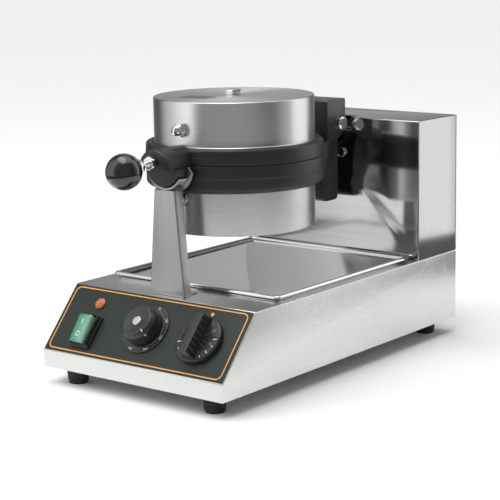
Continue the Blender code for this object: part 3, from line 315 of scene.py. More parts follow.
def satin_sheet(name, light, dark, rough, stretch, mirror=0.0):
    """Stainless sheet ground along one direction, wiped and a little handled."""
    material, tree, shader, place = finish_named(name, Metallic=1.0)
    grain = use(tree, belt_grain, Vector=place, Stretch=stretch)
    marks = use(tree, wipe_marks, Vector=place)
    colour = blend_between(tree, grain["Broad"], dark, light)
    base = number_between(tree, grain["Fine"], rough * (0.85 - 0.1 * mirror), rough * 1.2)
    worn = sums(tree, "MULTIPLY_ADD", marks["Smear"], rough * 0.16, base)
    dusty = sums(tree, "MULTIPLY_ADD", marks["Specks"], 0.1, worn)
    feed(tree, shader, colour, dusty, raise_by(tree, grain["Fine"], 0.000012 * (1 - 0.8 * mirror)))
    return material


base_steel = satin_sheet("satin sheet ground along the deck", (0.74, 0.74, 0.73), (0.66, 0.66, 0.655), 0.24,
                         (900, 30, 900))

housing_outline = rounded([
    (lip_y, under_z, 0), (lip_y, lip_top, base_bend), (lip_y + slope_run, deck_z, base_bend),
    (back_y, deck_z, base_bend), (back_y, under_z, 0),
])
# Local X runs back, local Y runs up and local Z runs to the right.
sideways = Matrix(((0, 0, 1, 0), (1, 0, 0, 0), (0, 1, 0, 0), (0, 0, 0, 1)))
housing = prism("base_box", housing_outline, -half_width, half_width)
alone(housing)
bpy.ops.object.mode_set(mode="EDIT")
select(housing, lambda middle, normal: normal.y < -0.9)
bpy.ops.mesh.delete(type="FACE")
bpy.ops.object.mode_set(mode="OBJECT")
soften(housing, side_corner, 3, 50)
modify(housing, "SOLIDIFY", thickness=base_sheet, offset=-1, use_even_offset=True)
settle(housing, sideways, "base", "sheet_steel", base_steel, "base_housing")

# ------------------------------------------------------------ bottom plate
# A loose galvanised-looking steel plate closes the box underneath and has five cooling slots.

plate_steel = satin_sheet("mill sheet of the bottom plate", (0.60, 0.60, 0.60), (0.50, 0.50, 0.51), 0.38,
                          (60, 300, 300))
refinish("bottom_plate", plate_steel)

# ------------------------------------------------------------ feet
# Four moulded black rubber feet, each ribbed round its side and hollow in the middle for its screw.

foot_low, foot_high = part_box("foot_front_left")
foot_radius = (foot_high.x - foot_low.x) / 2
foot_height = foot_high.z

# The fine pebble of moulded rubber and plastic.
tree, given, put_out = effect(
    "moulded pebble", [("Vector", "Vector", None), ("Scale", "Float", 900.0)], ["Pebble", "Patches"])
pebble = wire(tree, "ShaderNodeTexNoise", {"Vector": given["Vector"], "Scale": given["Scale"], "Detail": 2.0})
patches = wire(tree, "ShaderNodeTexNoise", {"Vector": given["Vector"], "Scale": 35.0, "Detail": 3.0})
moulded_pebble = put_out(Pebble=pebble.outputs[0], Patches=patches.outputs[0])


def moulded(name, dark, light, rough, grain=900.0, depth=0.00002, coat=0.0):
    """Moulded rubber or plastic: nearly black, with a fine pebble and duller patches."""
    material, tree, shader, place = finish_named(name, Coat_Weight=coat, Coat_Roughness=0.08)
    surface = use(tree, moulded_pebble, Vector=place, Scale=grain)
    marks = use(tree, wipe_marks, Vector=place, Scale=30.0)
    base = number_between(tree, surface["Patches"], rough * 0.85, rough * 1.2)
    worn = sums(tree, "MULTIPLY_ADD", marks["Smear"], rough * 0.3, base)
    feed(tree, shader, blend_between(tree, surface["Patches"], dark, light), worn,
         raise_by(tree, surface["Pebble"], depth))
    return material


foot_rubber = moulded("foot rubber", (0.010, 0.010, 0.010), (0.022, 0.021, 0.020), 0.62, 700.0, 0.00006)


def lathe(name, profile, steps=64):
    """A (radius, height) line from bottom to top, or a closed one, spun round local Z."""
    piece = draw(name, [(radius, 0, height) for radius, height in profile])
    bpy.ops.mesh.spin(steps=steps, angle=math.tau, center=(0, 0, 0), axis=(0, 0, 1))
    clean()
    return piece


def ring_of(corners, steps=5):
    """A closed turned section: rounded corners, and the last point joined to the first."""
    points = rounded(corners, steps)
    return points + points[:1]


def copies(piece, number):
    """The piece and its copies, each with a mesh of its own."""
    made = [piece]
    for _ in range(number - 1):
        twin = piece.copy()
        twin.data = piece.data.copy()
        bpy.context.collection.objects.link(twin)
        made.append(twin)
    return made


foot_side = [(0, 0.004, 0), (0.0040, 0.004, 0.0004), (0.0048, 0, 0.0008), (foot_radius * 0.80, 0, 0.0012)]
for groove in (0.3, 0.5, 0.7):
    radius = foot_radius * (0.83 + 0.13 * groove)
    height = foot_height * groove
    foot_side += [(radius, height - 0.0011, 0.0003), (radius - 0.0006, height - 0.0006, 0.0002),
                  (radius - 0.0006, height, 0.0002), (radius + 0.0001, height + 0.0005, 0.0003)]
foot_side += [(foot_radius, foot_height - 0.0025, 0.001), (foot_radius, foot_height, 0.0006),
              (0, foot_height, 0)]
feet = copies(lathe("foot", rounded(foot_side, 3, closed=False), 48), 4)
for foot, corner in zip(feet, ("front_left", "front_right", "rear_left", "rear_right")):
    low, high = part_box(f"foot_{corner}")
    foot.name = foot.data.name = f"rubber_foot_{corner}"
    centre = (low + high) / 2
    settle(foot, Matrix.Translation((centre.x, centre.y, 0)), "base", "black_rubber", foot_rubber,
           f"foot_{corner}")

# ------------------------------------------------------------ mains inlet
# A nylon cord gland snapped through the back of the base: a flange outside, a ribbed nose and an open bore.
# Its barb and the ceramic terminal block stay inside.

gland_low, gland_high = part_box("cord_gland")
gland_bore = 0.0045
gland_radius = (gland_high.x - gland_low.x) / 2
gland_nylon = moulded("gland nylon", (0.012, 0.012, 0.013), (0.022, 0.022, 0.024), 0.42, 1200.0)
facing_back = Matrix.Rotation(-math.pi / 2, 4, "X")
facing_front = Matrix.Rotation(math.pi / 2, 4, "X")

gland_place = Matrix.Translation(((gland_low.x + gland_high.x) / 2, back_y, (gland_low.z + gland_high.z) / 2))
gland_reach = gland_high.y - back_y
tail = back_y - gland_low.y
nose = [(gland_bore, -tail, 0), (gland_radius - 0.003, -tail, 0.0005), (gland_radius - 0.003, 0.0004, 0),
        (gland_radius, 0.0004, 0.0003), (gland_radius, gland_reach * 0.36, 0.0008)]
for rib in (0.46, 0.60, 0.74):
    radius = gland_radius - 0.0012 - 0.002 * (rib - 0.46)
    nose += [(radius - 0.0014, gland_reach * (rib - 0.04), 0.0003), (radius, gland_reach * rib, 0.0004),
             (radius - 0.0004, gland_reach * (rib + 0.06), 0.0004)]
nose += [(gland_radius - 0.0032, gland_reach * 0.88, 0.0006), (gland_bore + 0.0012, gland_reach, 0.0007),
         (gland_bore, gland_reach, 0.0004)]
settle(lathe("mains_gland", ring_of(nose, 3), 48), gland_place @ facing_back, "base", "black_plastic",
       gland_nylon, "cord_gland")


def fired(name, light, dark, rough):
    """Glazed ceramic: pale, faintly mottled, with a thin glaze."""
    material, tree, shader, place = finish_named(name, Coat_Weight=0.4, Coat_Roughness=0.2)
    marks = use(tree, wipe_marks, Vector=place, Scale=60.0)
    feed(tree, shader, blend_between(tree, marks["Smear"], light, dark),
         number_between(tree, marks["Smear"], rough, rough * 1.3), raise_by(tree, marks["Smear"], 0.00005))
    return material


ceramic = fired("glazed ceramic", (0.78, 0.76, 0.71), (0.68, 0.65, 0.59), 0.5)
for node in ("terminal_block", "thermostat_body", "timer_body"):
    refinish(node, ceramic)

# ------------------------------------------------------------ control panel
# A thin printed overlay stuck to the slope: dark green-grey, with an orange line round its edge
# and one orange dot that the timer's arrow starts from. The words of the print are left out.

slope_normal = Vector(joints["thermostat_turn"]["axis"])
slope_up = slope_normal.cross(Vector((1, 0, 0)))
slope_angle = math.atan2(slope_up.z, slope_up.y)
slope_length = slope_run / math.cos(slope_angle)


def on_panel(x, up, above=0.0):
    """Local Z along the panel's normal and local Y up the slope."""
    origin = Vector((0, lip_y, lip_top)) + slope_up * up + slope_normal * above + Vector((x, 0, 0))
    return Matrix.Translation(origin) @ Matrix.Rotation(slope_angle, 4, "X")


panel_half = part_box("control_panel")[1].x
panel_margin = half_width - panel_half
panel_up = slope_length / 2
panel_face = 0.0009
print_green = (0.021, 0.027, 0.025)
print_orange = (0.80, 0.37, 0.09)
side_item_x = joints["timer_turn"]["pos_m"][0]
dot_place = (side_item_x - 0.0015, 0.0745)


def local_to(tree, coordinates, place):
    """Object coordinates seen from a place on the machine."""
    return wire(tree, "ShaderNodeMapping", {
        "Vector": coordinates, "Location": place.translation, "Rotation": place.to_euler()[:]},
        vector_type="TEXTURE").outputs["Vector"]


# A printed line along a rectangle with round corners, in the flat of local X and Y.
tree, given, put_out = effect("printed border", [("Vector", "Vector", None), ("Half X", "Float", 0.12),
                                                 ("Half Y", "Float", 0.04), ("Corner", "Float", 0.006),
                                                 ("Line", "Float", 0.001)], ["Mask"])
split = wire(tree, "ShaderNodeSeparateXYZ", {"Vector": given["Vector"]})
past = []
for axis, half in (("X", given["Half X"]), ("Y", given["Half Y"])):
    reach = sums(tree, "SUBTRACT", half, given["Corner"])
    past.append(sums(tree, "SUBTRACT", sums(tree, "ABSOLUTE", split.outputs[axis]), reach))
outside = [sums(tree, "MAXIMUM", value, 0.0) for value in past]
squares = [sums(tree, "POWER", value, 2.0) for value in outside]
length = sums(tree, "SQRT", sums(tree, "ADD", *squares))
inside = sums(tree, "MINIMUM", sums(tree, "MAXIMUM", past[0], past[1]), 0.0)
distance = sums(tree, "ABSOLUTE", sums(tree, "SUBTRACT", sums(tree, "ADD", length, inside), given["Corner"]))
edge = sums(tree, "SUBTRACT", distance, sums(tree, "MULTIPLY", given["Line"], 0.5))
mask = wire(tree, "ShaderNodeMapRange", {"Value": edge, "From Min": 0.00008, "From Max": -0.00008})
printed_border = put_out(Mask=mask.outputs[0])

# A printed round dot.
tree, given, put_out = effect("printed dot", [
    ("Vector", "Vector", None), ("Centre", "Vector", (0, 0, 0)), ("Radius", "Float", 0.002)], ["Mask"])
off = wire(tree, "ShaderNodeVectorMath", {0: given["Vector"], 1: given["Centre"]}, operation="SUBTRACT")
flat = wire(tree, "ShaderNodeVectorMath", {0: off.outputs[0], 1: (1, 1, 0)}, operation="MULTIPLY")
far = wire(tree, "ShaderNodeVectorMath", {0: flat.outputs[0]}, operation="LENGTH")
edge = sums(tree, "SUBTRACT", far.outputs["Value"], given["Radius"])
mask = wire(tree, "ShaderNodeMapRange", {"Value": edge, "From Min": 0.00008, "From Max": -0.00008})
printed_dot = put_out(Mask=mask.outputs[0])

overlay, tree, shader, place = finish_named("printed overlay", Specular_IOR_Level=0.22)
flat_place = local_to(tree, place, on_panel(0, panel_up))
surface = use(tree, moulded_pebble, Vector=place, Scale=1600.0)
marks = use(tree, wipe_marks, Vector=place, Scale=22.0)
line = use(tree, printed_border, Vector=flat_place, **{
    "Half X": panel_half - 0.0044, "Half Y": slope_length / 2 - panel_margin - 0.0030, "Corner": 0.0065,
    "Line": 0.00125})["Mask"]
dot = use(tree, printed_dot, Vector=flat_place, Centre=(dot_place[0], dot_place[1] - panel_up, 0),
          Radius=0.0021)
ink = sums(tree, "MAXIMUM", line, dot["Mask"])
ground = blend_between(tree, surface["Patches"], print_green, tuple(c * 1.25 for c in print_green))
feed(tree, shader, painted(tree, ink, ground, print_orange), number_between(tree, marks["Smear"], 0.36, 0.46),
     raise_by(tree, surface["Pebble"], 0.00001))

corner = 0.0015
half_y = slope_length / 2 - panel_margin
panel_outline = rounded([(-panel_half, -half_y, corner), (panel_half, -half_y, corner),
                         (panel_half, half_y, corner), (-panel_half, half_y, corner)])
panel = soften(prism("panel_overlay", panel_outline, 0.0003, panel_face), 0.0002, 2)
settle(panel, on_panel(0, panel_up), "base", "panel_print", overlay, "control_panel")

# ------------------------------------------------------------ power switch
# A snap-in black switch frame with a tall collar, and a translucent green boot over the rocker,
# marked with a bar for on and a ring for off.

switch_x, switch_up = -side_item_x, 0.029
bezel_half_x, bezel_half_y = 0.014, 0.020
rocker_half_x, rocker_half_y = 0.0095, 0.0165
rocker_gap = 0.0008
collar_high = 0.0085
rocker_reach = 0.014
rocker_pivot = -0.001
rocker_tilt = math.radians(5)
switch_plastic = moulded("switch frame plastic", (0.010, 0.010, 0.011), (0.018, 0.018, 0.019), 0.30, 1500.0)


def rounded_box(half_x, half_y, radius, steps=5):
    """The outline of a rectangle with round corners."""
    signs = ((-1, -1), (1, -1), (1, 1), (-1, 1))
    return rounded([(x * half_x, y * half_y, radius) for x, y in signs], steps)


bezel = prism("switch_frame", rounded_box(bezel_half_x, bezel_half_y, 0.002), -0.004, panel_face + 0.0030)
bpy.ops.object.mode_set(mode="EDIT")
select(bezel, lambda middle, normal: normal.z > 0.9)
bpy.ops.mesh.inset(thickness=0.0016)
bpy.ops.mesh.extrude_region_move(TRANSFORM_OT_translate={"value": (0, 0, collar_high - 0.0030 - panel_face)})
bpy.ops.transform.resize(value=(0.97, 0.98, 1))
bpy.ops.object.mode_set(mode="OBJECT")
well = prism("well", rounded_box(rocker_half_x + rocker_gap, rocker_half_y + 2 * rocker_gap, 0.0015), -0.002,
             0.03)
soften(carve(bezel, "DIFFERENCE", well), 0.0004, 2)
settle(bezel, on_panel(switch_x, switch_up), "base", "black_plastic", switch_plastic, "switch_bezel")

boot_place = on_panel(switch_x, switch_up, rocker_pivot) @ Matrix.Rotation(rocker_tilt, 4, "X")
boot_green, tree, shader, place = finish_named(
    "green boot", Coat_Weight=0.8, Coat_Roughness=0.06, Subsurface_Weight=0.25, Subsurface_Scale=0.004)
shader.inputs["Subsurface Radius"].default_value = (0.3, 1.0, 0.6)
boot_flat = local_to(tree, place, boot_place)
# The boot's colour is painted from deep green to pale green across it, palest towards its right-hand side: a
# painted highlight.
split = wire(tree, "ShaderNodeSeparateXYZ", {"Vector": boot_flat})
across = wire(tree, "ShaderNodeMapRange", {"Value": split.outputs["X"], "From Min": -0.007,
                                           "From Max": 0.0085})
glow = blend_between(tree, across.outputs[0], (0.006, 0.21, 0.105), (0.20, 0.40, 0.30))
marks = use(tree, wipe_marks, Vector=place, Scale=50.0)
tint = painted(tree, sums(tree, "MULTIPLY", marks["Smear"], 0.25), glow, (0.01, 0.12, 0.07))
ring = use(tree, printed_border, Vector=wire(
    tree, "ShaderNodeMapping", {"Vector": boot_flat, "Location": (0, 0.0072, 0)}).outputs[0],
    **{"Half X": 0.0021, "Half Y": 0.0026, "Corner": 0.0020, "Line": 0.0008})["Mask"]
bar = use(tree, printed_border, Vector=wire(
    tree, "ShaderNodeMapping", {"Vector": boot_flat, "Location": (0, -0.0072, 0)}).outputs[0],
    **{"Half X": 0.0001, "Half Y": 0.0022, "Corner": 0.0001, "Line": 0.0009})["Mask"]
mark = sums(tree, "MAXIMUM", ring, bar)
feed(tree, shader, painted(tree, mark, tint, (0.62, 0.80, 0.70)),
     number_between(tree, marks["Smear"], 0.16, 0.30), raise_by(tree, marks["Smear"], 0.0001))

boot_top = rocker_reach - rocker_pivot
boot = prism("rocker_boot", rounded_box(rocker_half_x, rocker_half_y, 0.0024), -0.0035, boot_top - 0.0015)
bpy.ops.object.mode_set(mode="EDIT")
select(boot, lambda middle, normal: normal.z > 0.9)
bpy.ops.mesh.inset(thickness=0.0022, depth=0.0013)
bpy.ops.object.mode_set(mode="OBJECT")
soften(boot, 0.0006, 3, 25)
settle(boot, boot_place, "power_rocker", "green_boot", boot_green, "power_rocker", smooth=40)

# ------------------------------------------------------------ indicator lamp
# An amber moulded lens pushed into its hole, with a thin rim and a low dome ribbed to spread the light.

lamp_up = 0.0645
lamp_radius = 0.0065
lamp_reach = 0.0054
amber, tree, shader, place = finish_named(
    "amber lens", Coat_Weight=0.7, Coat_Roughness=0.08, Subsurface_Weight=0.35, Subsurface_Scale=0.003)
shader.inputs["Subsurface Radius"].default_value = (1.0, 0.4, 0.1)
lens = local_to(tree, place, on_panel(-side_item_x, lamp_up))
# Small moulded facets in relief. Their colour is painted bright in the middle of each and dark at its edges:
# a painted glint.
facets = wire(tree, "ShaderNodeTexVoronoi", {"Vector": lens, "Scale": 620.0}, feature="DISTANCE_TO_EDGE")
facet_relief_and_painted_glint = wire(tree, "ShaderNodeMapRange", {"Value": facets.outputs["Distance"], "From Max": 0.25})
feed(tree, shader, blend_between(tree, facet_relief_and_painted_glint.outputs[0], (0.28, 0.07, 0.015), (0.80, 0.24, 0.05)),
     number_between(tree, facet_relief_and_painted_glint.outputs[0], 0.30, 0.14), raise_by(tree, facet_relief_and_painted_glint.outputs[0], 0.0002))

lens_profile = [(0, -0.002, 0), (lamp_radius * 0.7, -0.002, 0), (lamp_radius * 0.7, 0.0008, 0),
                (lamp_radius, 0.0011, 0.0002), (lamp_radius, 0.0026, 0.0007),
                (lamp_radius * 0.82, 0.0031, 0.0003)]
for share in (0.7, 0.5, 0.3):
    rise = lamp_reach - 0.0022 * share
    lens_profile += [(lamp_radius * share, rise, 0.0004),
                     (lamp_radius * (share - 0.1), rise - 0.0001, 0.0003)]
lens_profile.append((0, lamp_reach, 0))
settle(lathe("amber_lens", rounded(lens_profile, 3, closed=False), 40), on_panel(-side_item_x, lamp_up),
       "base", "amber_lens", amber, "indicator_lamp")

# ------------------------------------------------------------ thermostat
# A black dial plate with dots and temperatures printed on it, and a dished knob pushed on the
# spindle over it. The knob has a plain bright cap in its middle and a white line on its edge.

thermostat_up = (Vector(joints["thermostat_turn"]["pos_m"]) - Vector((0, lip_y, lip_top))).dot(slope_up)
dial_place = on_panel(0, thermostat_up)
dial_radius = 0.029
dial_low, dial_high = panel_face + 0.0003, panel_face + 0.0019
knob_radius = 0.021
knob_low, knob_top = dial_high + 0.0003, panel_face + 0.0203
knob_plastic = moulded("knob plastic", (0.011, 0.011, 0.012), (0.020, 0.020, 0.021), 0.33, 1300.0, 0.00002,
                       0.15)
mark_white = moulded("white mark paint", (0.62, 0.62, 0.60), (0.75, 0.75, 0.73), 0.5, 1500.0, 0.00001)

dial_section = [(0.008, dial_low, 0), (dial_radius, dial_low, 0.0002),
                (dial_radius, dial_high - 0.0003, 0.0003), (dial_radius - 0.0012, dial_high, 0.0004),
                (0.008, dial_high, 0)]
settle(lathe("thermostat_dial_plate", ring_of(dial_section, 3), 96), dial_place, "base", "black_plastic",
       knob_plastic, "thermostat_dial")


def joined(name, pieces):
    """Several pieces made one object."""
    alone(pieces[0])
    for piece in pieces[1:]:
        piece.select_set(True)
    bpy.ops.object.join()
    pieces[0].name = pieces[0].data.name = name
    return pieces[0]


def applied(piece, place):
    """The piece with its place moved into its mesh."""
    alone(piece)
    piece.matrix_world = place
    bpy.ops.object.transform_apply(location=True, rotation=True, scale=True)
    return piece


def clockwise(degrees, radius, height):
    """A place on a dial, turned so that its local Y points outwards. 0 degrees is straight up the slope."""
    return Matrix.Rotation(-math.radians(degrees), 4, "Z") @ Matrix.Translation((0, radius, height))


def tick(name, width, length, place, thick=0.00012):
    """A short raised line of paint with round ends."""
    stroke = prism(name, rounded_box(width / 2, length / 2, width * 0.4, 2), -thick, thick)
    return applied(stroke, place)


def numeral(text, size, place):
    """A figure of dial print."""
    bpy.ops.object.select_all(action="DESELECT")
    bpy.ops.object.text_add()
    figure = bpy.context.object
    figure.data.body = text
    figure.data.size = size
    figure.data.align_x, figure.data.align_y = "CENTER", "CENTER"
    figure.data.extrude = 0.0001
    figure.data.resolution_u = 3
    bpy.ops.object.convert(target="MESH")
    return applied(bpy.context.object, place)


dial_start, dial_end, figures = 15, 195, ("50", "100", "150", "200", "250")
figure_ring, figure_size, dot_ring, dot_radius, print_thick = 0.0262, 0.0036, 0.0238, 0.0004, 0.00012
gap = (dial_end - dial_start) / (len(figures) - 1)
printing = []
for number, text in enumerate(figures):
    degrees = dial_start + gap * number
    printing.append(numeral(text, figure_size, clockwise(degrees, figure_ring, dial_high)))
    for step in range(1, 6):
        if number < len(figures) - 1:
            dot_side = [(0, -0.0001), (dot_radius, -0.0001), (dot_radius, print_thick), (0, print_thick)]
            spot = lathe("dot", dot_side, 8)
            printing.append(applied(spot, clockwise(degrees + gap * step / 6, dot_ring, dial_high)))
settle(joined("thermostat_dial_print", printing), dial_place, "base", "black_plastic", mark_white)

knob_profile = rounded([
    (0, knob_low, 0), (knob_radius * 0.96, knob_low, 0.0004), (knob_radius, knob_low + 0.002, 0.0010),
    (knob_radius * 0.985, knob_top - 0.0042, 0.0028), (knob_radius * 0.80, knob_top, 0.0030),
    (knob_radius * 0.50, knob_top - 0.0014, 0.0040), (knob_radius * 0.36, knob_top - 0.0018, 0.0006),
    (knob_radius * 0.34, knob_top - 0.0012, 0.0003), (0, knob_top - 0.0012, 0)], 6, closed=False)
knob = lathe("thermostat_grip", knob_profile, 96)
settle(knob, dial_place, "thermostat_knob", "black_plastic", knob_plastic, "thermostat_knob")

chrome, tree, shader, place = finish_named("bright chrome", Metallic=1.0)
marks = use(tree, wipe_marks, Vector=place, Scale=40.0)
feed(tree, shader, blend_between(tree, marks["Smear"], (0.86, 0.87, 0.88), (0.74, 0.75, 0.76)),
     number_between(tree, marks["Smear"], 0.06, 0.16), raise_by(tree, marks["Smear"], 0.00004))

# The cap has the dull shine of the bottom plate's sheet.
cap_profile = rounded([(0, -0.0004, 0), (0.0052, -0.0004, 0), (0.0052, 0.0004, 0.0003),
                       (0.0040, 0.0008, 0.001), (0, 0.0010, 0)], 3, closed=False)
cap_place = dial_place @ Matrix.Translation((0, 0, knob_top - 0.0012))
settle(lathe("thermostat_knob_cap", cap_profile, 48), cap_place, "thermostat_knob", "chrome", plate_steel)

pointer_degrees = 128
top_place = clockwise(pointer_degrees, knob_radius * 0.80, knob_top - 0.0004)
side_place = clockwise(pointer_degrees, knob_radius * 0.992, knob_top - 0.0055)
pointer = [tick("on_top", 0.0009, 0.0040, top_place, 0.0005),
           tick("on_side", 0.0009, 0.0034, side_place @ Matrix.Rotation(-1.52, 4, "X"), 0.0002)]
settle(joined("thermostat_pointer", pointer), dial_place, "thermostat_knob", "black_plastic", mark_white)
for node in ("thermostat_spindle", "timer_spindle"):
    refinish(node, chrome)

# ------------------------------------------------------------ timer
# A black disc with a tall ribbed bar to turn it by, moulded in one, with white minute lines round
# its lower half and an arrow at the top that is set to the orange dot.

timer_up = (Vector(joints["timer_turn"]["pos_m"]) - Vector((side_item_x, lip_y, lip_top))).dot(slope_up)
timer_place = on_panel(side_item_x, timer_up)
disc_radius = 0.027
disc_low, disc_top = panel_face + 0.0003, panel_face + 0.0073
bar_half, bar_reach, bar_top = 0.0075, 0.0245, disc_top + 0.014
rib_pitch, ribbed_reach = 0.00327, 0.021
line_ring, first_line, line_gap = 0.0245, 84, 21
arrow_degrees = 14

disc = lathe("timer_disc", rounded([
    (0, disc_low, 0), (disc_radius, disc_low, 0.0003), (disc_radius, disc_top - 0.0012, 0.0004),
    (disc_radius - 0.0018, disc_top, 0.0008), (0, disc_top, 0)], 4, closed=False), 96)
bar = begin("timer_bar", "cube", size=1, location=(0, 0, (disc_top + bar_top) / 2 - 0.0005),
            scale=(2 * bar_half, 2 * bar_reach, bar_top - disc_top + 0.001))
bpy.ops.object.transform_apply(location=True, rotation=True, scale=True)
bpy.ops.object.mode_set(mode="EDIT")
select(bar, lambda middle, normal: normal.z > 0.9)
bpy.ops.transform.resize(value=(0.72, 0.94, 1))
select(bar, lambda middle, along: abs(along.y) > 0.9, "edges")
bpy.ops.mesh.subdivide(number_cuts=14)
select(bar, lambda middle, normal: abs(normal.x) > 0.5 and abs(middle.y) < ribbed_reach
       and math.floor((middle.y + bar_reach) / rib_pitch) % 2 == 1)
bpy.ops.mesh.inset(thickness=0.00035, depth=-0.0009, use_individual=True)
bpy.ops.object.mode_set(mode="OBJECT")
soften(bar, 0.0011, 3, 50)
timer = carve(disc, "UNION", bar)
settle(timer, timer_place, "timer_knob", "black_plastic", knob_plastic, "timer_knob")

lines = []
for number in range(9):
    degrees = first_line + line_gap * number
    length = 0.0050 if number % 2 == 0 else 0.0028
    lines.append(tick("minute", 0.0007, length, clockwise(degrees, line_ring - length / 2, disc_top)))
lines.append(tick("arrow_stem", 0.0007, 0.0030, clockwise(arrow_degrees, 0.0215, disc_top)))
arrow = prism("arrow_head", [(-0.0013, 0), (0.0013, 0), (0, 0.0022)], -0.0001, 0.00012)
lines.append(applied(arrow, clockwise(arrow_degrees, 0.0229, disc_top)))
settle(joined("timer_print", lines), timer_place, "timer_knob", "black_plastic", mark_white)

# ------------------------------------------------------------ drip tray
# A loose tray of thin polished sheet that catches the batter: a rolled hem, soft corners, and a flat floor.

tray_low, tray_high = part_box("drip_tray")
tray_middle = (tray_low + tray_high) / 2
tray_half = (tray_high - tray_low) / 2
tray_hem, tray_sheet, tray_corner = 0.004, 0.0009, 0.007
tray_steel = satin_sheet("polished sheet of the tray", (0.86, 0.86, 0.85), (0.78, 0.78, 0.775), 0.10,
                         (300, 300, 300), 1.0)

pan_x, pan_y = tray_half.x - tray_hem, tray_half.y - tray_hem
pan_top = tray_high.z - tray_low.z - tray_sheet
tray = prism("tray_pan", rounded_box(pan_x, pan_y, tray_corner - 0.0025, 6), 0, pan_top)
alone(tray)
bpy.ops.object.mode_set(mode="EDIT")
select(tray, lambda middle, normal: normal.z > 0.9)
bpy.ops.mesh.delete(type="FACE")
select(tray, lambda middle, along: middle.z > pan_top - 1e-5, "edges")
bpy.ops.mesh.extrude_region_move()
hem_x, hem_y = tray_half.x - tray_sheet, tray_half.y - tray_sheet
bpy.ops.transform.resize(value=(hem_x / pan_x, hem_y / pan_y, 1))
bpy.ops.mesh.extrude_region_move(TRANSFORM_OT_translate={"value": (0, 0, -0.0019)})
bpy.ops.object.mode_set(mode="OBJECT")
soften(tray, 0.0011, 3, 50)
modify(tray, "SOLIDIFY", thickness=tray_sheet, offset=-1, use_even_offset=True)
settle(tray, Matrix.Translation((0, tray_middle.y, tray_low.z)), "drip_tray", "mirror_steel", tray_steel,
       "drip_tray")

# ------------------------------------------------------------ tower housing
# The raised box at the back, folded from mirror-finished sheet. A notch in its top lets the hinge swing
# past, the bearing is bolted behind its front, and its open back is closed by a screwed cover.

tower_low, tower_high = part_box("tower_housing")
iron_y, axis_z = joints["iron_turnover"]["pos_m"][1], joints["iron_turnover"]["pos_m"][2]
tower_sheet = 0.0012
notch_half, notch_depth, notch_floor = 0.031, 0.020, axis_z + 0.0095
shaft_hole = 0.0088
flange = 0.0112
tower_steel = satin_sheet("mirror sheet of the tower", (0.56, 0.555, 0.545), (0.48, 0.475, 0.465), 0.09,
                          (20, 700, 700), 0.7)


def block_between(name, low, high):
    """A box between two corners, with its size in its mesh."""
    low, high = Vector(low), Vector(high)
    return applied(begin(name, "cube", size=1),
                   Matrix.Translation((low + high) / 2) @ Matrix.Diagonal((*(high - low), 1)))


tower = block_between("tower_box", (-tower_high.x, tower_low.y, tower_low.z), tower_high)
notch = block_between("notch", (-notch_half, tower_low.y - 0.01, notch_floor),
                      (notch_half, tower_low.y + notch_depth, tower_high.z + 0.01))
carve(tower, "DIFFERENCE", notch)
alone(tower)
bpy.ops.object.mode_set(mode="EDIT")
select(tower, lambda middle, normal: normal.z < -0.9)
bpy.ops.mesh.delete(type="FACE")
select(tower, lambda middle, normal: normal.y > 0.9 and middle.y > tower_high.y - 0.001)
bpy.ops.mesh.inset(thickness=flange)
bpy.ops.mesh.delete(type="FACE")
bpy.ops.object.mode_set(mode="OBJECT")
soften(tower, 0.0014, 3, 50)
modify(tower, "SOLIDIFY", thickness=tower_sheet, offset=-1, use_even_offset=True)
bore = applied(begin("bore", "cylinder", vertices=48, radius=shaft_hole, depth=0.01),
               Matrix.Translation((0, tower_low.y, axis_z)) @ facing_front)
settle(carve(tower, "DIFFERENCE", bore), Matrix(), "base", "mirror_steel", tower_steel, "tower_housing")
refinish("tower_rear_cover", base_steel)

# ------------------------------------------------------------ cover screws
# Four pan-head cross-recess screws hold the rear cover on.

screw_low, screw_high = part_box("cover_screw_lower_left")
screw_radius, screw_height = (screw_high.x - screw_low.x) / 2, 0.002


def cross_screw(name, radius, height):
    """A low domed head with a cross recess, on a short shank."""
    head = lathe(name, rounded([(0, -0.004, 0), (0.0016, -0.004, 0), (0.0016, 0.0001, 0),
                                (radius, 0.0001, 0.0002), (radius * 0.96, height * 0.6, 0.0007),
                                (radius * 0.5, height, 0.001), (0, height, 0)], 4, closed=False), 40)
    arms = [block_between("arm", (-half_x, -half_y, height * 0.45), (half_x, half_y, height + 0.001))
            for half_x, half_y in ((radius * 0.62, radius * 0.12), (radius * 0.12, radius * 0.62))]
    return carve(head, "DIFFERENCE", *arms)


cover_screws = copies(cross_screw("cover_screw", screw_radius, screw_height), 4)
for piece, corner in zip(cover_screws, ("lower_left", "lower_right", "upper_left", "upper_right")):
    low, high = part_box(f"cover_screw_{corner}")
    piece.name = piece.data.name = f"cross_screw_{corner}"
    head_middle = ((low.x + high.x) / 2, high.y - screw_height, (low.z + high.z) / 2)
    head_place = Matrix.Translation(head_middle) @ facing_back
    settle(piece, head_place, "base", "chrome", chrome, f"cover_screw_{corner}")

# ------------------------------------------------------------ bearing
# A cast block bolted behind the tower's front carries the turning shaft in a bronze bush. A stop under
# the shaft limits the turn to half a revolution.

# The skin of sand-cast iron: coarse lumps under a fine grit.
tree, given, put_out = effect(
    "cast grain", [("Vector", "Vector", None), ("Scale", "Float", 420.0)], ["Grit", "Lumps"])
grit = wire(tree, "ShaderNodeTexNoise", {"Vector": given["Vector"], "Scale": given["Scale"], "Detail": 4.0})
lumps = wire(tree, "ShaderNodeTexNoise", {"Vector": given["Vector"], "Scale": 60.0, "Detail": 2.0})
cast_grain = put_out(Grit=grit.outputs[0], Lumps=lumps.outputs[0])

# Edges that hands and tools have rubbed, told by how sharply the surface turns.
tree, given, put_out = effect("rubbed edges", [("Reach", "Float", 0.56)], ["Mask"])
turn = tree.nodes.new("ShaderNodeNewGeometry").outputs["Pointiness"]
rubbed = wire(tree, "ShaderNodeMapRange", {"Value": turn, "From Min": given["Reach"], "From Max": 0.62})
rubbed_edges = put_out(Mask=rubbed.outputs[0])


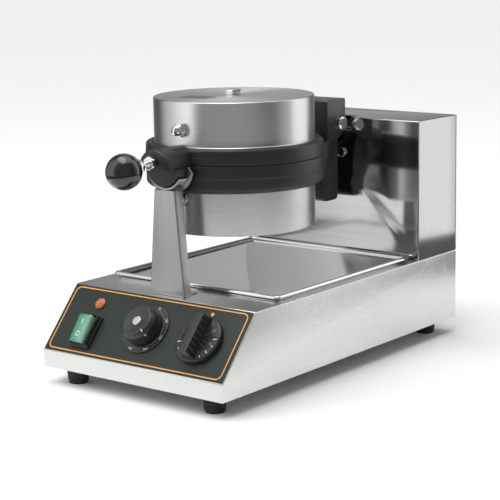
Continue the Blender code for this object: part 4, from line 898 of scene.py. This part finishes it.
def casting(name, dark, light, rough, depth, coat=0.0, metal=0.0):
    """Cast iron with a fired black coat, greyer where it is rubbed."""
    material, tree, shader, place = finish_named(name, Coat_Weight=coat, Coat_Roughness=0.25, Metallic=metal)
    skin = use(tree, cast_grain, Vector=place)
    marks = use(tree, wipe_marks, Vector=place, Scale=20.0)
    edge = use(tree, rubbed_edges)["Mask"]
    body_colour = blend_between(tree, skin["Lumps"], dark, light)
    colour = painted(tree, sums(tree, "MULTIPLY", edge, 0.5), body_colour, (0.09, 0.09, 0.092))
    base = number_between(tree, skin["Lumps"], rough * 0.85, rough * 1.15)
    grain = raise_by(tree, skin["Grit"], depth)
    feed(tree, shader, colour, sums(tree, "MULTIPLY_ADD", marks["Smear"], rough * 0.25, base),
         raise_by(tree, skin["Lumps"], depth * 2, 1.0, grain))
    return material


black_casting = casting("black fired casting", (0.008, 0.008, 0.009), (0.014, 0.014, 0.015), 0.40, 0.00005,
                        0.06)
bronze = satin_sheet("bearing bronze", (0.55, 0.36, 0.17), (0.42, 0.26, 0.12), 0.35, (300, 300, 300))
refinish("bearing_block", black_casting)
refinish("rotation_stop", base_steel)
refinish("bearing_bush", bronze)


def hexagon_head(name, flats, low, high, both=False):
    """A hexagon with its corners turned off on top, and underneath as well if asked."""
    corner = flats / math.sqrt(3)
    six = [(corner * math.cos(k * math.pi / 3), corner * math.sin(k * math.pi / 3)) for k in range(6)]
    piece = prism(name, six, low, high)
    drop = (corner - flats / 2) * 0.6
    dressed = [(0, low), (flats / 2 - 0.0002, low), (corner, low + drop)]
    bottom = dressed if both else [(0, low), (corner, low)]
    mould = lathe("mould", bottom + [(corner + 1e-5, high - drop), (flats / 2 - 0.0002, high), (0, high)], 48)
    return soften(carve(piece, "INTERSECT", mould), 0.00015, 2, 25)


def nut_of(name, flats, low, high, hole):
    """A hexagon nut with its corners turned off on both sides, and its hole."""
    hollow = begin("hollow", "cylinder", vertices=48, radius=hole, depth=0.2)
    return carve(hexagon_head(name, flats, low, high, both=True), "DIFFERENCE", hollow)


bearing_bolt_flats = 0.010
bolts = copies(hexagon_head("bearing_bolt", bearing_bolt_flats, 0.0003, 0.0033), 2)
for piece, side in zip(bolts, ("left", "right")):
    low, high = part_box(f"bearing_bolt_{side}")
    piece.name = piece.data.name = f"hex_bolt_{side}"
    head_place = Matrix.Translation(((low.x + high.x) / 2, tower_low.y, (low.z + high.z) / 2)) @ facing_front
    settle(piece, head_place, "base", "chrome", chrome, f"bearing_bolt_{side}")

# ------------------------------------------------------------ front post
# A tapered channel of bent steel screwed to the deck. A cradle welded to its top takes the journal.

post_low, post_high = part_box("front_post")
post_front = post_low.y
post_bottom_half, post_top_half = 0.0245, 0.0145
post_bottom_depth, post_top_depth = 0.011, 0.0127
post_sheet = 0.0015
post_foot_half = 0.020
post_screw_radius, post_screw_height = 0.004, 0.0024
post_steel = satin_sheet("satin sheet of the post", (0.47, 0.475, 0.47), (0.39, 0.395, 0.39), 0.30,
                         (800, 800, 30))

post = block_between("post_channel", (-post_bottom_half, post_front, post_low.z),
                     (post_bottom_half, post_front + post_bottom_depth, post_high.z))
bpy.ops.object.mode_set(mode="EDIT")
select(post, lambda spot: spot.z > post_low.z + 0.01, "verts")
bpy.ops.transform.resize(value=(post_top_half / post_bottom_half, 1, 1))
select(post, lambda spot: spot.z > post_low.z + 0.01 and spot.y > post_front + 0.005, "verts")
bpy.ops.transform.translate(value=(0, post_top_depth - post_bottom_depth, 0))
select(post, lambda middle, normal: normal.y > 0.7 or abs(normal.z) > 0.9)
bpy.ops.mesh.delete(type="FACE")
bpy.ops.object.mode_set(mode="OBJECT")
soften(post, 0.0016, 4, 40)
modify(post, "SOLIDIFY", thickness=post_sheet, offset=-1, use_even_offset=True)
foot = soften(block_between("post_foot", (-post_foot_half, post_front + 0.0013, post_low.z),
                            (post_foot_half, post_high.y, post_low.z + post_sheet)), 0.0004, 2)
settle(joined("front_post_channel", [post, foot]), Matrix(), "base", "sheet_steel", post_steel, "front_post")

cradle_low, cradle_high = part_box("post_cradle")
cradle_bore, cradle_ring, cradle_trough = 0.0224, 0.0289, 0.0244
plate_front = cradle_high.y - 0.003


def sweep_of(radius, start, end, steps):
    """Points along an arc in the flat of local X and Y, in degrees from local X."""
    angles = [math.radians(start + (end - start) * k / steps) for k in range(steps + 1)]
    return [(radius * math.cos(angle), radius * math.sin(angle)) for angle in angles]


cradle_outline = sweep_of(cradle_bore, 180, 360, 48) + sweep_of(cradle_ring, 348, 192, 40)
cradle_plate = prism("cradle_plate", cradle_outline, -cradle_high.y, -plate_front)
trough = prism("cradle_trough", sweep_of(cradle_bore, 210, 330, 32) + sweep_of(cradle_trough, 330, 210, 32),
               -plate_front - 0.001, -cradle_low.y)
cradle = soften(carve(cradle_plate, "UNION", trough), 0.0003, 2, 50)
settle(cradle, Matrix.Translation((0, 0, axis_z)) @ facing_front, "base", "sheet_steel", post_steel,
       "post_cradle")

post_screws = copies(cross_screw("post_screw", post_screw_radius, post_screw_height), 2)
for piece, side in zip(post_screws, ("left", "right")):
    low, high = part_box(f"post_screw_{side}")
    piece.name = piece.data.name = f"deck_screw_{side}"
    head_place = Matrix.Translation(((low.x + high.x) / 2, (low.y + high.y) / 2, high.z - post_screw_height))
    settle(piece, head_place, "base", "chrome", chrome, f"post_screw_{side}")

# ------------------------------------------------------------ iron castings
# Two cast rims that meet at the parting line. Half of the front journal and half of the rear boss are cast
# on each, and the upper one has turned beads round the inside of its lip.

rim_radius, seat_radius, shelf_radius = 0.0995, 0.0915, 0.086
face, shelf = 0.0003, 0.009
rim_heights = {"upper": 0.0175, "lower": 0.0307}
ways = {"upper": 1, "lower": -1}
journals = {"upper": (0.0207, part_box("upper_journal")[0].y), "lower": (0.0215, -0.165525)}
boss_radius, boss_ends = 0.0227, {"upper": 0.098975, "lower": 0.093975}


def iron_place(half):
    """The middle of the iron on its turning axis, with local Z away from the parting line."""
    return Matrix.Translation((0, iron_y, axis_z)) @ Matrix.Diagonal((1, ways[half], ways[half], 1))


for half, way in ways.items():
    top = rim_heights[half]
    lip_in = [(seat_radius, top, 0.0005)]
    if half == "upper":
        lip_in = [(rim_radius - 0.0052, top, 0.0005), (rim_radius - 0.0056, top - 0.0007, 0.0003),
                  (rim_radius - 0.0062, top - 0.0007, 0.0003), (rim_radius - 0.0066, top, 0.0003), *lip_in]
    section = ring_of([(shelf_radius, face, 0.0003), (rim_radius, face, 0.0008),
                       (rim_radius, top * 0.42, 0.004), (rim_radius - 0.0004, top * 0.5, 0.004),
                       (rim_radius - 0.0004, top, 0.0034 if half == "upper" else 0.0062), *lip_in,
                       (seat_radius, shelf, 0), (shelf_radius, shelf, 0)], 5)
    rim = applied(lathe(f"{half}_casting", section, 144), iron_place(half))
    radius, front = journals[half]
    reach = iron_y - front - rim_radius + 0.0064
    journal = lathe("journal", rounded([(0, 0, 0), (radius, 0, 0.0001), (radius, reach - 0.0001, 0.0028),
                                        (0, reach, 0)], 5, closed=False), 96)
    applied(journal, Matrix.Translation((0, front + reach, axis_z)) @ facing_front)
    boss_front = iron_y + rim_radius - 0.0064
    boss_reach = boss_ends[half] - boss_front
    boss = lathe("boss", rounded([(0, 0, 0), (boss_radius, 0, 0.0001),
                                  (boss_radius, boss_reach - 0.0001, 0.0014), (0, boss_reach, 0)], 4,
                                 closed=False), 96)
    applied(boss, Matrix.Translation((0, boss_front, axis_z)) @ facing_back)
    for cylinder in (journal, boss):
        start, end = sorted((axis_z - way * 0.1, axis_z + way * face))
        waste = block_between("waste", (-0.1, -0.3, start), (0.1, 0.3, end))
        soften(carve(cylinder, "DIFFERENCE", waste), 0.0006, 2, 60)
    carve(rim, "UNION", journal, boss)
    nodes = [f"{half}_ring"] + (["upper_journal"] if half == "upper" else [])
    settle(rim, Matrix(), f"{half}_iron", "black_casting", black_casting, *nodes)

# ------------------------------------------------------------ baking plates
# A thick seasoned plate let into each rim, with the waffle pattern of raised studs on a diagonal grid.

plate_thick, bake_floor = 0.012, 0.0016
bake_radius, plate_radius = 0.0812, 0.0857
stud_pitch, stud_foot, stud_head = 0.0070, 0.0052, 0.0040
plate_boss, plate_boss_top = 0.008, 0.032

seasoned, tree, shader, place = finish_named("seasoned baking iron", Metallic=0.55, Coat_Weight=0.15)
skin = use(tree, cast_grain, Vector=place, Scale=700.0)
marks = use(tree, wipe_marks, Vector=place, Scale=26.0)
edge = use(tree, rubbed_edges)["Mask"]
oily = blend_between(tree, marks["Smear"], (0.030, 0.027, 0.024), (0.055, 0.043, 0.032))
bare = painted(tree, sums(tree, "MULTIPLY", edge, 0.6), oily, (0.16, 0.155, 0.15))
feed(tree, shader, bare, number_between(tree, skin["Lumps"], 0.30, 0.52),
     raise_by(tree, skin["Grit"], 0.00003))

for half in ways:
    section = [(0, bake_floor, 0), (bake_radius, bake_floor, 0.0003),
               (bake_radius + 0.0004, face + 0.0003, 0.0003), (plate_radius, face + 0.0003, 0.0003),
               (plate_radius, shelf + face, 0), (seat_radius - face, shelf + face, 0),
               (seat_radius - face, plate_thick, 0.0003), (plate_boss, plate_thick, 0.001),
               (plate_boss, plate_boss_top, 0.0004), (0.0038, plate_boss_top, 0),
               (0.0038, plate_boss_top - 0.0075, 0), (0, plate_boss_top - 0.0075, 0)]
    plate = lathe(f"{half}_baking_plate", rounded(section, 3, closed=False), 96)
    count = 2 * int(bake_radius / stud_pitch) + 1
    first = -(count - 1) / 2 * stud_pitch
    studs = begin("studs", "cone", vertices=4, radius1=stud_foot / math.sqrt(2),
                  radius2=stud_head / math.sqrt(2), depth=0.0011, location=(0, 0, 0),
                  rotation=(math.pi, 0, math.pi / 4))
    bpy.ops.object.transform_apply(location=True, rotation=True, scale=True)
    for offset in ((stud_pitch, 0, 0), (0, stud_pitch, 0)):
        modify(studs, "ARRAY", count=count, use_relative_offset=False, use_constant_offset=True,
               constant_offset_displace=offset)
    applied(studs, Matrix.Translation((first, first, bake_floor - 0.00045)))
    alone(studs)
    bpy.ops.object.mode_set(mode="EDIT")
    last_stud = bake_radius - stud_foot * 0.72
    select(studs, lambda middle, normal: last_stud < stud_pitch * math.hypot(
        round(middle.x / stud_pitch), round(middle.y / stud_pitch)))
    bpy.ops.mesh.delete(type="FACE")
    bpy.ops.object.mode_set(mode="OBJECT")
    soften(studs, 0.0002, 1, 30)
    applied(studs, Matrix.Rotation(math.pi / 4, 4, "Z"))
    settle(joined(f"{half}_baking_plate", [plate, studs]), iron_place(half), f"{half}_iron", "baking_iron",
           seasoned, f"{half}_plate")

# ------------------------------------------------------------ heating elements
# A tubular heater lies on the back of each plate under a pressed ring. Both stay inside the drums.

heated = satin_sheet("heat-tinted element sheath", (0.36, 0.33, 0.30), (0.24, 0.20, 0.19), 0.45,
                     (200, 200, 200))
for half in ways:
    refinish(f"{half}_heating_element", heated)
    refinish(f"{half}_element_clamp", plate_steel)

# ------------------------------------------------------------ iron housings
# A drum of spun stainless over each plate, brushed round and round, with a bright bead where it meets
# the rim. The upper one carries a small dark rating label, left blank.

drum_radius, drum_sheet, drum_bend = 0.0895, 0.0012, 0.0016
drum_tops = {"upper": 0.0665, "lower": 0.0775}
bolt_hole = 0.0038
drum_middle = (0, iron_y, axis_z)

# Brushed rings round an upright axis through a point: fine lines that follow the radius and the height.
tree, given, put_out = effect(
    "turned grain", [("Vector", "Vector", None), ("Middle", "Vector", (0, 0, 0))], ["Fine", "Broad"])
from_middle = wire(tree, "ShaderNodeVectorMath", {0: given["Vector"], 1: given["Middle"]},
                   operation="SUBTRACT")
level = wire(tree, "ShaderNodeVectorMath", {0: from_middle.outputs[0], 1: (1, 1, 0)}, operation="MULTIPLY")
radius_of = wire(tree, "ShaderNodeVectorMath", {0: level.outputs[0]}, operation="LENGTH").outputs["Value"]
height_of = wire(tree, "ShaderNodeSeparateXYZ", {"Vector": from_middle.outputs[0]})
lines = wire(tree, "ShaderNodeCombineXYZ", {"X": radius_of, "Y": 0.0, "Z": height_of.outputs["Z"]})
slight = wire(tree, "ShaderNodeVectorMath", {0: from_middle.outputs[0], 1: (0.004, 0.004, 0)},
              operation="MULTIPLY")
drawn = wire(tree, "ShaderNodeVectorMath", {0: lines.outputs[0], 1: slight.outputs[0]}, operation="ADD")
fine = wire(tree, "ShaderNodeTexNoise", {"Vector": drawn.outputs[0], "Scale": 2600.0, "Detail": 2.0})
broad = wire(tree, "ShaderNodeTexNoise", {"Vector": drawn.outputs[0], "Scale": 320.0, "Detail": 2.0})
turned_grain = put_out(Fine=fine.outputs[0], Broad=broad.outputs[0])

drum_steel, tree, shader, place = finish_named("spun drum steel", Metallic=1.0, Anisotropic=0.75,
                                               Anisotropic_Rotation=0.25)
grain = use(tree, turned_grain, Vector=place, Middle=drum_middle)
marks = use(tree, wipe_marks, Vector=place, Scale=18.0)
base = number_between(tree, grain["Fine"], 0.24, 0.34)
feed(tree, shader, blend_between(tree, grain["Broad"], (0.60, 0.605, 0.60), (0.72, 0.72, 0.71)),
     sums(tree, "MULTIPLY_ADD", marks["Smear"], 0.06, base), raise_by(tree, grain["Fine"], 0.000015))
# The brush ran round the axis, which the shader needs as a direction.
middle_of = wire(tree, "ShaderNodeVectorMath", {0: place, 1: drum_middle}, operation="SUBTRACT")
level = wire(tree, "ShaderNodeVectorMath", {0: middle_of.outputs[0], 1: (1, 1, 0)}, operation="MULTIPLY")
around = wire(tree, "ShaderNodeVectorMath", {0: (0, 0, 1), 1: level.outputs[0]}, operation="CROSS_PRODUCT")
along = wire(tree, "ShaderNodeVectorMath", {0: around.outputs[0]}, operation="NORMALIZE")
tree.links.new(along.outputs[0], shader.inputs["Tangent"])

for half in ways:
    top, brim = drum_tops[half], plate_thick + face
    bead = rim_heights[half] if half == "upper" else brim + 0.004
    outside = [(seat_radius - face, brim, 0), (seat_radius - face, brim + drum_sheet, 0.0003),
               (drum_radius, brim + drum_sheet, 0.0003), (drum_radius, bead - 0.0009, 0.0004),
               (drum_radius + 0.0011, bead - 0.0001, 0.0006), (drum_radius, bead + 0.0010, 0.0004),
               (drum_radius, top, drum_bend), (bolt_hole, top, 0)]
    inner = drum_radius - drum_sheet
    inside = [(bolt_hole, top - drum_sheet, 0), (inner, top - drum_sheet, 0.0006), (inner, brim, 0)]
    drum = lathe(f"{half}_drum", ring_of(outside + inside, 5), 160)
    settle(drum, iron_place(half), f"{half}_iron", "brushed_steel", drum_steel, f"{half}_housing")

label_place = Matrix.Translation((-0.0176, iron_y - 0.0418, axis_z + drum_tops["upper"]))
label_foil, tree, shader, place = finish_named("rating label foil", Metallic=0.6)
flat_place = local_to(tree, place, label_place)
border = use(tree, printed_border, Vector=flat_place, **{
    "Half X": 0.0175, "Half Y": 0.0105, "Corner": 0.001, "Line": 0.0004})["Mask"]
marks = use(tree, wipe_marks, Vector=place, Scale=40.0)
dull = blend_between(tree, marks["Smear"], (0.11, 0.11, 0.11), (0.15, 0.15, 0.15))
feed(tree, shader, painted(tree, border, dull, (0.55, 0.55, 0.54)),
     number_between(tree, marks["Smear"], 0.30, 0.42), raise_by(tree, marks["Smear"], 0.00002))
label = soften(prism("blank_label", rounded_box(0.019, 0.012, 0.0015), 0.00002, 0.0002), 0.00005, 1)
settle(label, label_place, "upper_iron", "brushed_steel", label_foil)

# ------------------------------------------------------------ drum fixings
# A hexagon bolt in the middle of each drum holds it to the plate, and a domed nut at the front takes
# the stud that stops it turning.

bolt_flats, domed_flats = 0.016, 0.014
for half, offset in (("upper", 0.0365), ("lower", -0.0385)):
    bolt = hexagon_head(f"{half}_hex_bolt", bolt_flats, face, 0.0063)
    settle(bolt, iron_place(half) @ Matrix.Translation((0, 0, drum_tops[half])), f"{half}_iron", "chrome",
           chrome, f"{half}_centre_bolt")
    nut = hexagon_head(f"{half}_domed_nut", domed_flats, face, 0.006)
    dome = lathe("dome", rounded([(0, 0.003, 0), (0.006, 0.003, 0), (0.006, 0.0085, 0.0015),
                                  (0.0052, 0.0122, 0.0035), (0.0012, 0.0140, 0.0012), (0, 0.0140, 0)], 6,
                                 closed=False), 48)
    nut_place = Matrix.Translation((0, iron_y - drum_radius, axis_z + offset)) @ facing_front
    settle(carve(nut, "UNION", dome), nut_place, f"{half}_iron", "chrome", chrome, f"{half}_cap_nut")

# ------------------------------------------------------------ rotation shaft
# A hollow chromed shaft keyed into the hinge block. It turns in the bearing with a set collar behind.

shaft_low, shaft_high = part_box("rotation_shaft")
shaft_radius, shaft_bore = 0.0075, 0.0045
shaft_edge, bore_edge = 0.0006, 0.0003
shaft_length = shaft_high.y - shaft_low.y
shaft = lathe("hollow_shaft", ring_of([(shaft_bore, 0, bore_edge), (shaft_radius, 0, shaft_edge),
                                       (shaft_radius, shaft_length, shaft_edge),
                                       (shaft_bore, shaft_length, bore_edge)], 3), 64)
settle(shaft, Matrix.Translation((0, shaft_low.y, axis_z)) @ facing_back, "lower_iron", "chrome", chrome,
       "rotation_shaft")
refinish("shaft_collar", chrome)

# ------------------------------------------------------------ lid hinge
# A folded bracket welded to the upper boss straddles a deep cast block on the lower one. A slotted pin
# goes through both, with a nut on its far side.

bracket_low, bracket_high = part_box("hinge_bracket")
bracket_sheet = 0.003
pin_clearance, socket_radius = 0.0043, 0.0078
small_flats = 0.013
pin_y, pin_z = joints["lid_hinge"]["pos_m"][1], joints["lid_hinge"]["pos_m"][2]
front, back, top = bracket_low.y, bracket_high.y, bracket_high.z
across = Matrix.Translation((0, pin_y, pin_z)) @ Matrix.Rotation(math.pi / 2, 4, "Y")
bracket_black = casting("black coat of the bracket", (0.014, 0.014, 0.015), (0.024, 0.024, 0.025), 0.32,
                        0.00003, 0.3)
cheek = rounded([(front, bracket_low.z, 0.0004), (pin_y - 0.0096, bracket_low.z, 0.001),
                 (back - 0.0020, pin_z - 0.0095, 0.009), (back, pin_z, 0.004), (back, top, 0.0030),
                 (front, top, 0.0030)], 6)
bracket = applied(prism("folded_bracket", cheek, -bracket_high.x, bracket_high.x), sideways)
pocket = block_between("pocket",
                       (bracket_sheet - bracket_high.x, front + bracket_sheet, bracket_low.z - 0.01),
                       (bracket_high.x - bracket_sheet, back + 0.01, top - bracket_sheet))
pin_hole = applied(begin("pin_hole", "cylinder", vertices=48, radius=pin_clearance, depth=0.08), across)
soften(carve(bracket, "DIFFERENCE", pocket, pin_hole), 0.0007, 3, 50)
settle(bracket, Matrix(), "upper_iron", "black_casting", bracket_black, "hinge_bracket")

block_low, block_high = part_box("hinge_block")
ear = block_high.z - pin_z
step_z = axis_z - 0.0003
outline = rounded([(block_low.y, step_z, 0.0005), (block_low.y, block_low.z, 0.006),
                   (block_low.y + 0.030, block_low.z, 0.006),
                   (block_low.y + 0.030, pin_z - ear - 0.004, 0.001)], 6, closed=False)
outline += [(pin_y + a, pin_z + b) for a, b in sweep_of(ear, -75, 150, 40)]
outline += [(front + bracket_sheet + 0.0006, pin_z - 0.006), (front + bracket_sheet + 0.0006, step_z)]
block = applied(prism("cast_block", outline, block_low.x, block_high.x), sideways)
pin_hole = applied(begin("pin_hole", "cylinder", vertices=48, radius=pin_clearance, depth=0.08), across)
socket = applied(begin("socket", "cylinder", vertices=48, radius=socket_radius, depth=0.034),
                 Matrix.Translation((0, block_low.y + 0.030, axis_z)) @ facing_back)
soften(carve(block, "DIFFERENCE", pin_hole, socket), 0.0008, 3, 50)
settle(block, Matrix(), "lower_iron", "black_casting", black_casting, "hinge_block")

pin_out = bracket_high.x + 0.0003
pin = lathe("slotted_pin", rounded([(0, -pin_out - 0.005, 0), (0.004, -pin_out - 0.005, 0.0006),
                                    (0.004, pin_out, 0), (0.0082, pin_out, 0.0003),
                                    (0.0082, pin_out + 0.0022, 0.0006), (0.0066, pin_out + 0.0037, 0.0006),
                                    (0, pin_out + 0.0037, 0)], 4, closed=False), 64)
slot = block_between("slot", (-0.0008, -0.02, pin_out + 0.0018), (0.0008, 0.02, 0.1))
settle(carve(pin, "DIFFERENCE", slot), across, "lower_iron", "chrome", chrome, "hinge_pin")
pin_nut = nut_of("pin_nut", small_flats, -pin_out - 0.004, -pin_out, pin_clearance)
settle(pin_nut, across, "lower_iron", "chrome", chrome, "hinge_pin_nut")

# ------------------------------------------------------------ handle
# A threaded rod screwed into the front journal and locked by a nut, with a hexagon ferrule and a
# glossy black ball at its end.

rod_start = Vector((0, journals["upper"][1], axis_z + 0.0075))
ball_centre = Vector((0, 0.0025 - 0.225525, axis_z + 0.0028))
handle_line = ball_centre - rod_start
handle_length = handle_line.length
handle_place = Matrix.Translation(rod_start) @ handle_line.to_track_quat("Z", "X").to_matrix().to_4x4()
rod_radius, ball_radius, ball_flat = 0.003, 0.01925, 0.006
rod_clearance, ferrule_flats = 0.0033, 0.0145
ball_back = handle_length - math.sqrt(ball_radius**2 - ball_flat**2)

thread = [(0, -0.012, 0), (rod_radius - 0.0003, -0.012, 0)]
height, pitch = -0.011, 0.0009
while height < 0.0125:
    thread += [(rod_radius - 0.00035, height, 0), (rod_radius, height + pitch / 2, 0)]
    height += pitch
thread += [(rod_radius - 0.0002, 0.0135, 0.0002), (rod_radius - 0.0002, handle_length + 0.005, 0),
           (0, handle_length + 0.005, 0)]
settle(lathe("threaded_rod", rounded(thread, 2, closed=False), 48), handle_place, "upper_iron", "chrome",
       chrome, "handle_rod")
lock_nut = nut_of("lock_nut", small_flats, 0.0012, 0.0072, rod_clearance)
settle(lock_nut, handle_place, "upper_iron", "chrome", chrome, "handle_lock_nut")
ferrule = nut_of("ball_ferrule", ferrule_flats, ball_back - 0.0063, ball_back - 0.0003, rod_clearance)
settle(ferrule, handle_place, "upper_iron", "chrome", chrome, "handle_ferrule")

ball_gloss = moulded("ball plastic", (0.006, 0.006, 0.007), (0.011, 0.011, 0.012), 0.16, 500.0, 0.00001, 0.8)
start = math.degrees(math.atan2(ball_back - handle_length, ball_flat))
curve = [(a, handle_length + b) for a, b in sweep_of(ball_radius, start, 90, 40)]
curve[-1] = (0, handle_length + ball_radius)
hole = [(0, handle_length + 0.0053), (rod_clearance, handle_length + 0.0053),
        (rod_clearance, ball_back + 0.0004), (ball_flat - 0.0004, ball_back + 0.0001)]
ball = lathe("handle_knob", hole + curve[1:], 80)
settle(ball, handle_place, "upper_iron", "black_plastic", ball_gloss, "handle_ball")

# ------------------------------------------------------------ studio
# A pale floor, soft daylight with two softboxes, and the camera in front on the right. A tent and a dark
# ring on the ground, which only reflections see, give the steel its light and dark bands.

camera_place = Matrix(((0.78614, -0.10642, 0.60878, 1.1063), (0.61776, 0.16344, -0.76916, -1.414225),
                       (-0.01764, 0.98075, 0.19423, 0.4811), (0, 0, 0, 1)))
camera_data = bpy.data.cameras.new("camera")
camera_data.lens = 114.5
camera_data.sensor_width = 36
camera = bpy.data.objects.new("camera", camera_data)
camera.matrix_world = camera_place
bpy.context.collection.objects.link(camera)
bpy.context.scene.camera = camera

floor = begin("floor", "plane", size=30)
pale, tree, shader, place = finish_named("pale floor", Roughness=0.8)
shader.inputs["Base Color"].default_value = (0.9, 0.9, 0.9, 1)
floor.data.materials.append(pale)


def softbox(name, place, target, width, height, power):
    """A rectangular light that points from its place at the target."""
    data = bpy.data.lights.new(name, "AREA")
    data.shape = "RECTANGLE"
    data.size, data.size_y, data.energy = width, height, power
    lamp = bpy.data.objects.new(name, data)
    lamp.location = place
    lamp.rotation_euler = (Vector(target) - Vector(place)).to_track_quat("-Z", "Y").to_euler()
    bpy.context.collection.objects.link(lamp)


softbox("top", (0.2, 0.2, 2.2), (0, 0, 0.1), 2.0, 2.0, 14)
softbox("key from the left", (-1.6, -1.2, 1.6), (0, 0, 0.15), 1.2, 1.6, 10)
sun_data = bpy.data.lights.new("soft daylight", "SUN")
sun_data.energy, sun_data.angle = 2.3, math.radians(70)
sun = bpy.data.objects.new("soft daylight", sun_data)
sun.rotation_euler = (math.radians(20), math.radians(-14), 0)
bpy.context.collection.objects.link(sun)

# A tent round the machine that only reflections see. Each pair is an angle in degrees, from the side of
# the camera towards the right-hand side, and the brightness of the tent there.
tent_light = ((-180, 0.42), (-150, 0.20), (-138, 0.08), (-122, 0.10), (-108, 0.55), (-90, 0.75), (-72, 1.15),
              (-60, 1.2), (-50, 0.30), (-38, 0.22), (-10, 0.28), (20, 0.27), (40, 0.16), (56, 0.13),
              (66, 0.36), (80, 0.55), (90, 1.3), (116, 1.3), (124, 0.7), (132, 0.12), (148, 0.12),
              (162, 0.36), (180, 0.42))
toward_camera = math.degrees(math.atan2(camera_place[1][2], camera_place[0][2]))
tent_radius, tent_height, off_floor = 0.95, 1.7, 0.001
tent = begin("reflection_tent", "cylinder", vertices=96, radius=tent_radius, depth=tent_height,
             end_fill_type="NOTHING", location=(0, 0, tent_height / 2 + off_floor))
bpy.ops.object.transform_apply(location=True, rotation=True, scale=True)
cloth = bpy.data.materials.new("tent cloth")
cloth.use_nodes = True
tree = cloth.node_tree
tree.nodes.remove(tree.nodes["Principled BSDF"])
turn = wire(tree, "ShaderNodeTexGradient", {"Vector": tree.nodes.new("ShaderNodeTexCoord").outputs["Object"]},
            gradient_type="RADIAL")
ramp = wire(tree, "ShaderNodeValToRGB", {"Fac": turn.outputs["Fac"]})
stops = sorted((((toward_camera + angle) / 360 + 0.5) % 1, light) for angle, light in tent_light[1:])
while len(ramp.color_ramp.elements) < len(stops):
    ramp.color_ramp.elements.new(0.5)
for element, (share, light) in zip(ramp.color_ramp.elements, stops):
    element.position, element.color = share, (light, light, light, 1)
glow = wire(tree, "ShaderNodeEmission", {"Color": ramp.outputs["Color"], "Strength": 1.0})
tree.links.new(glow.outputs[0], tree.nodes["Material Output"].inputs["Surface"])
tent.data.materials.append(cloth)
ground = begin("dark_ground_of_reflections", "circle", vertices=96, radius=tent_radius + 0.01,
               fill_type="NGON", location=(0, 0, 2 * off_floor))
bpy.ops.object.mode_set(mode="EDIT")
bpy.ops.mesh.inset(thickness=0.34)
bpy.ops.mesh.delete(type="FACE")
bpy.ops.object.mode_set(mode="OBJECT")
bpy.ops.object.transform_apply(location=True, rotation=True, scale=True)
dim = bpy.data.materials.new("dim ground")
dim.use_nodes = True
dim.node_tree.nodes.remove(dim.node_tree.nodes["Principled BSDF"])
shade = wire(dim.node_tree, "ShaderNodeEmission", {"Color": (0.14, 0.14, 0.14, 1), "Strength": 1.0})
dim.node_tree.links.new(shade.outputs[0], dim.node_tree.nodes["Material Output"].inputs["Surface"])
ground.data.materials.append(dim)
for reflector in (ground, tent):
    reflector.visible_camera = reflector.visible_diffuse = False
    reflector.visible_shadow = reflector.visible_transmission = False

world = bpy.data.worlds.new("studio air")
world.use_nodes = True
world.node_tree.nodes["Background"].inputs["Color"].default_value = (1, 1, 1, 1)
seen = world.node_tree.nodes.new("ShaderNodeLightPath").outputs["Is Camera Ray"]
air = wire(world.node_tree, "ShaderNodeMapRange", {"Value": seen, "To Min": 0.34, "To Max": 1.0})
world.node_tree.links.new(air.outputs[0], world.node_tree.nodes["Background"].inputs["Strength"])
bpy.context.scene.world = world
bpy.context.scene.view_settings.view_transform = "Standard"
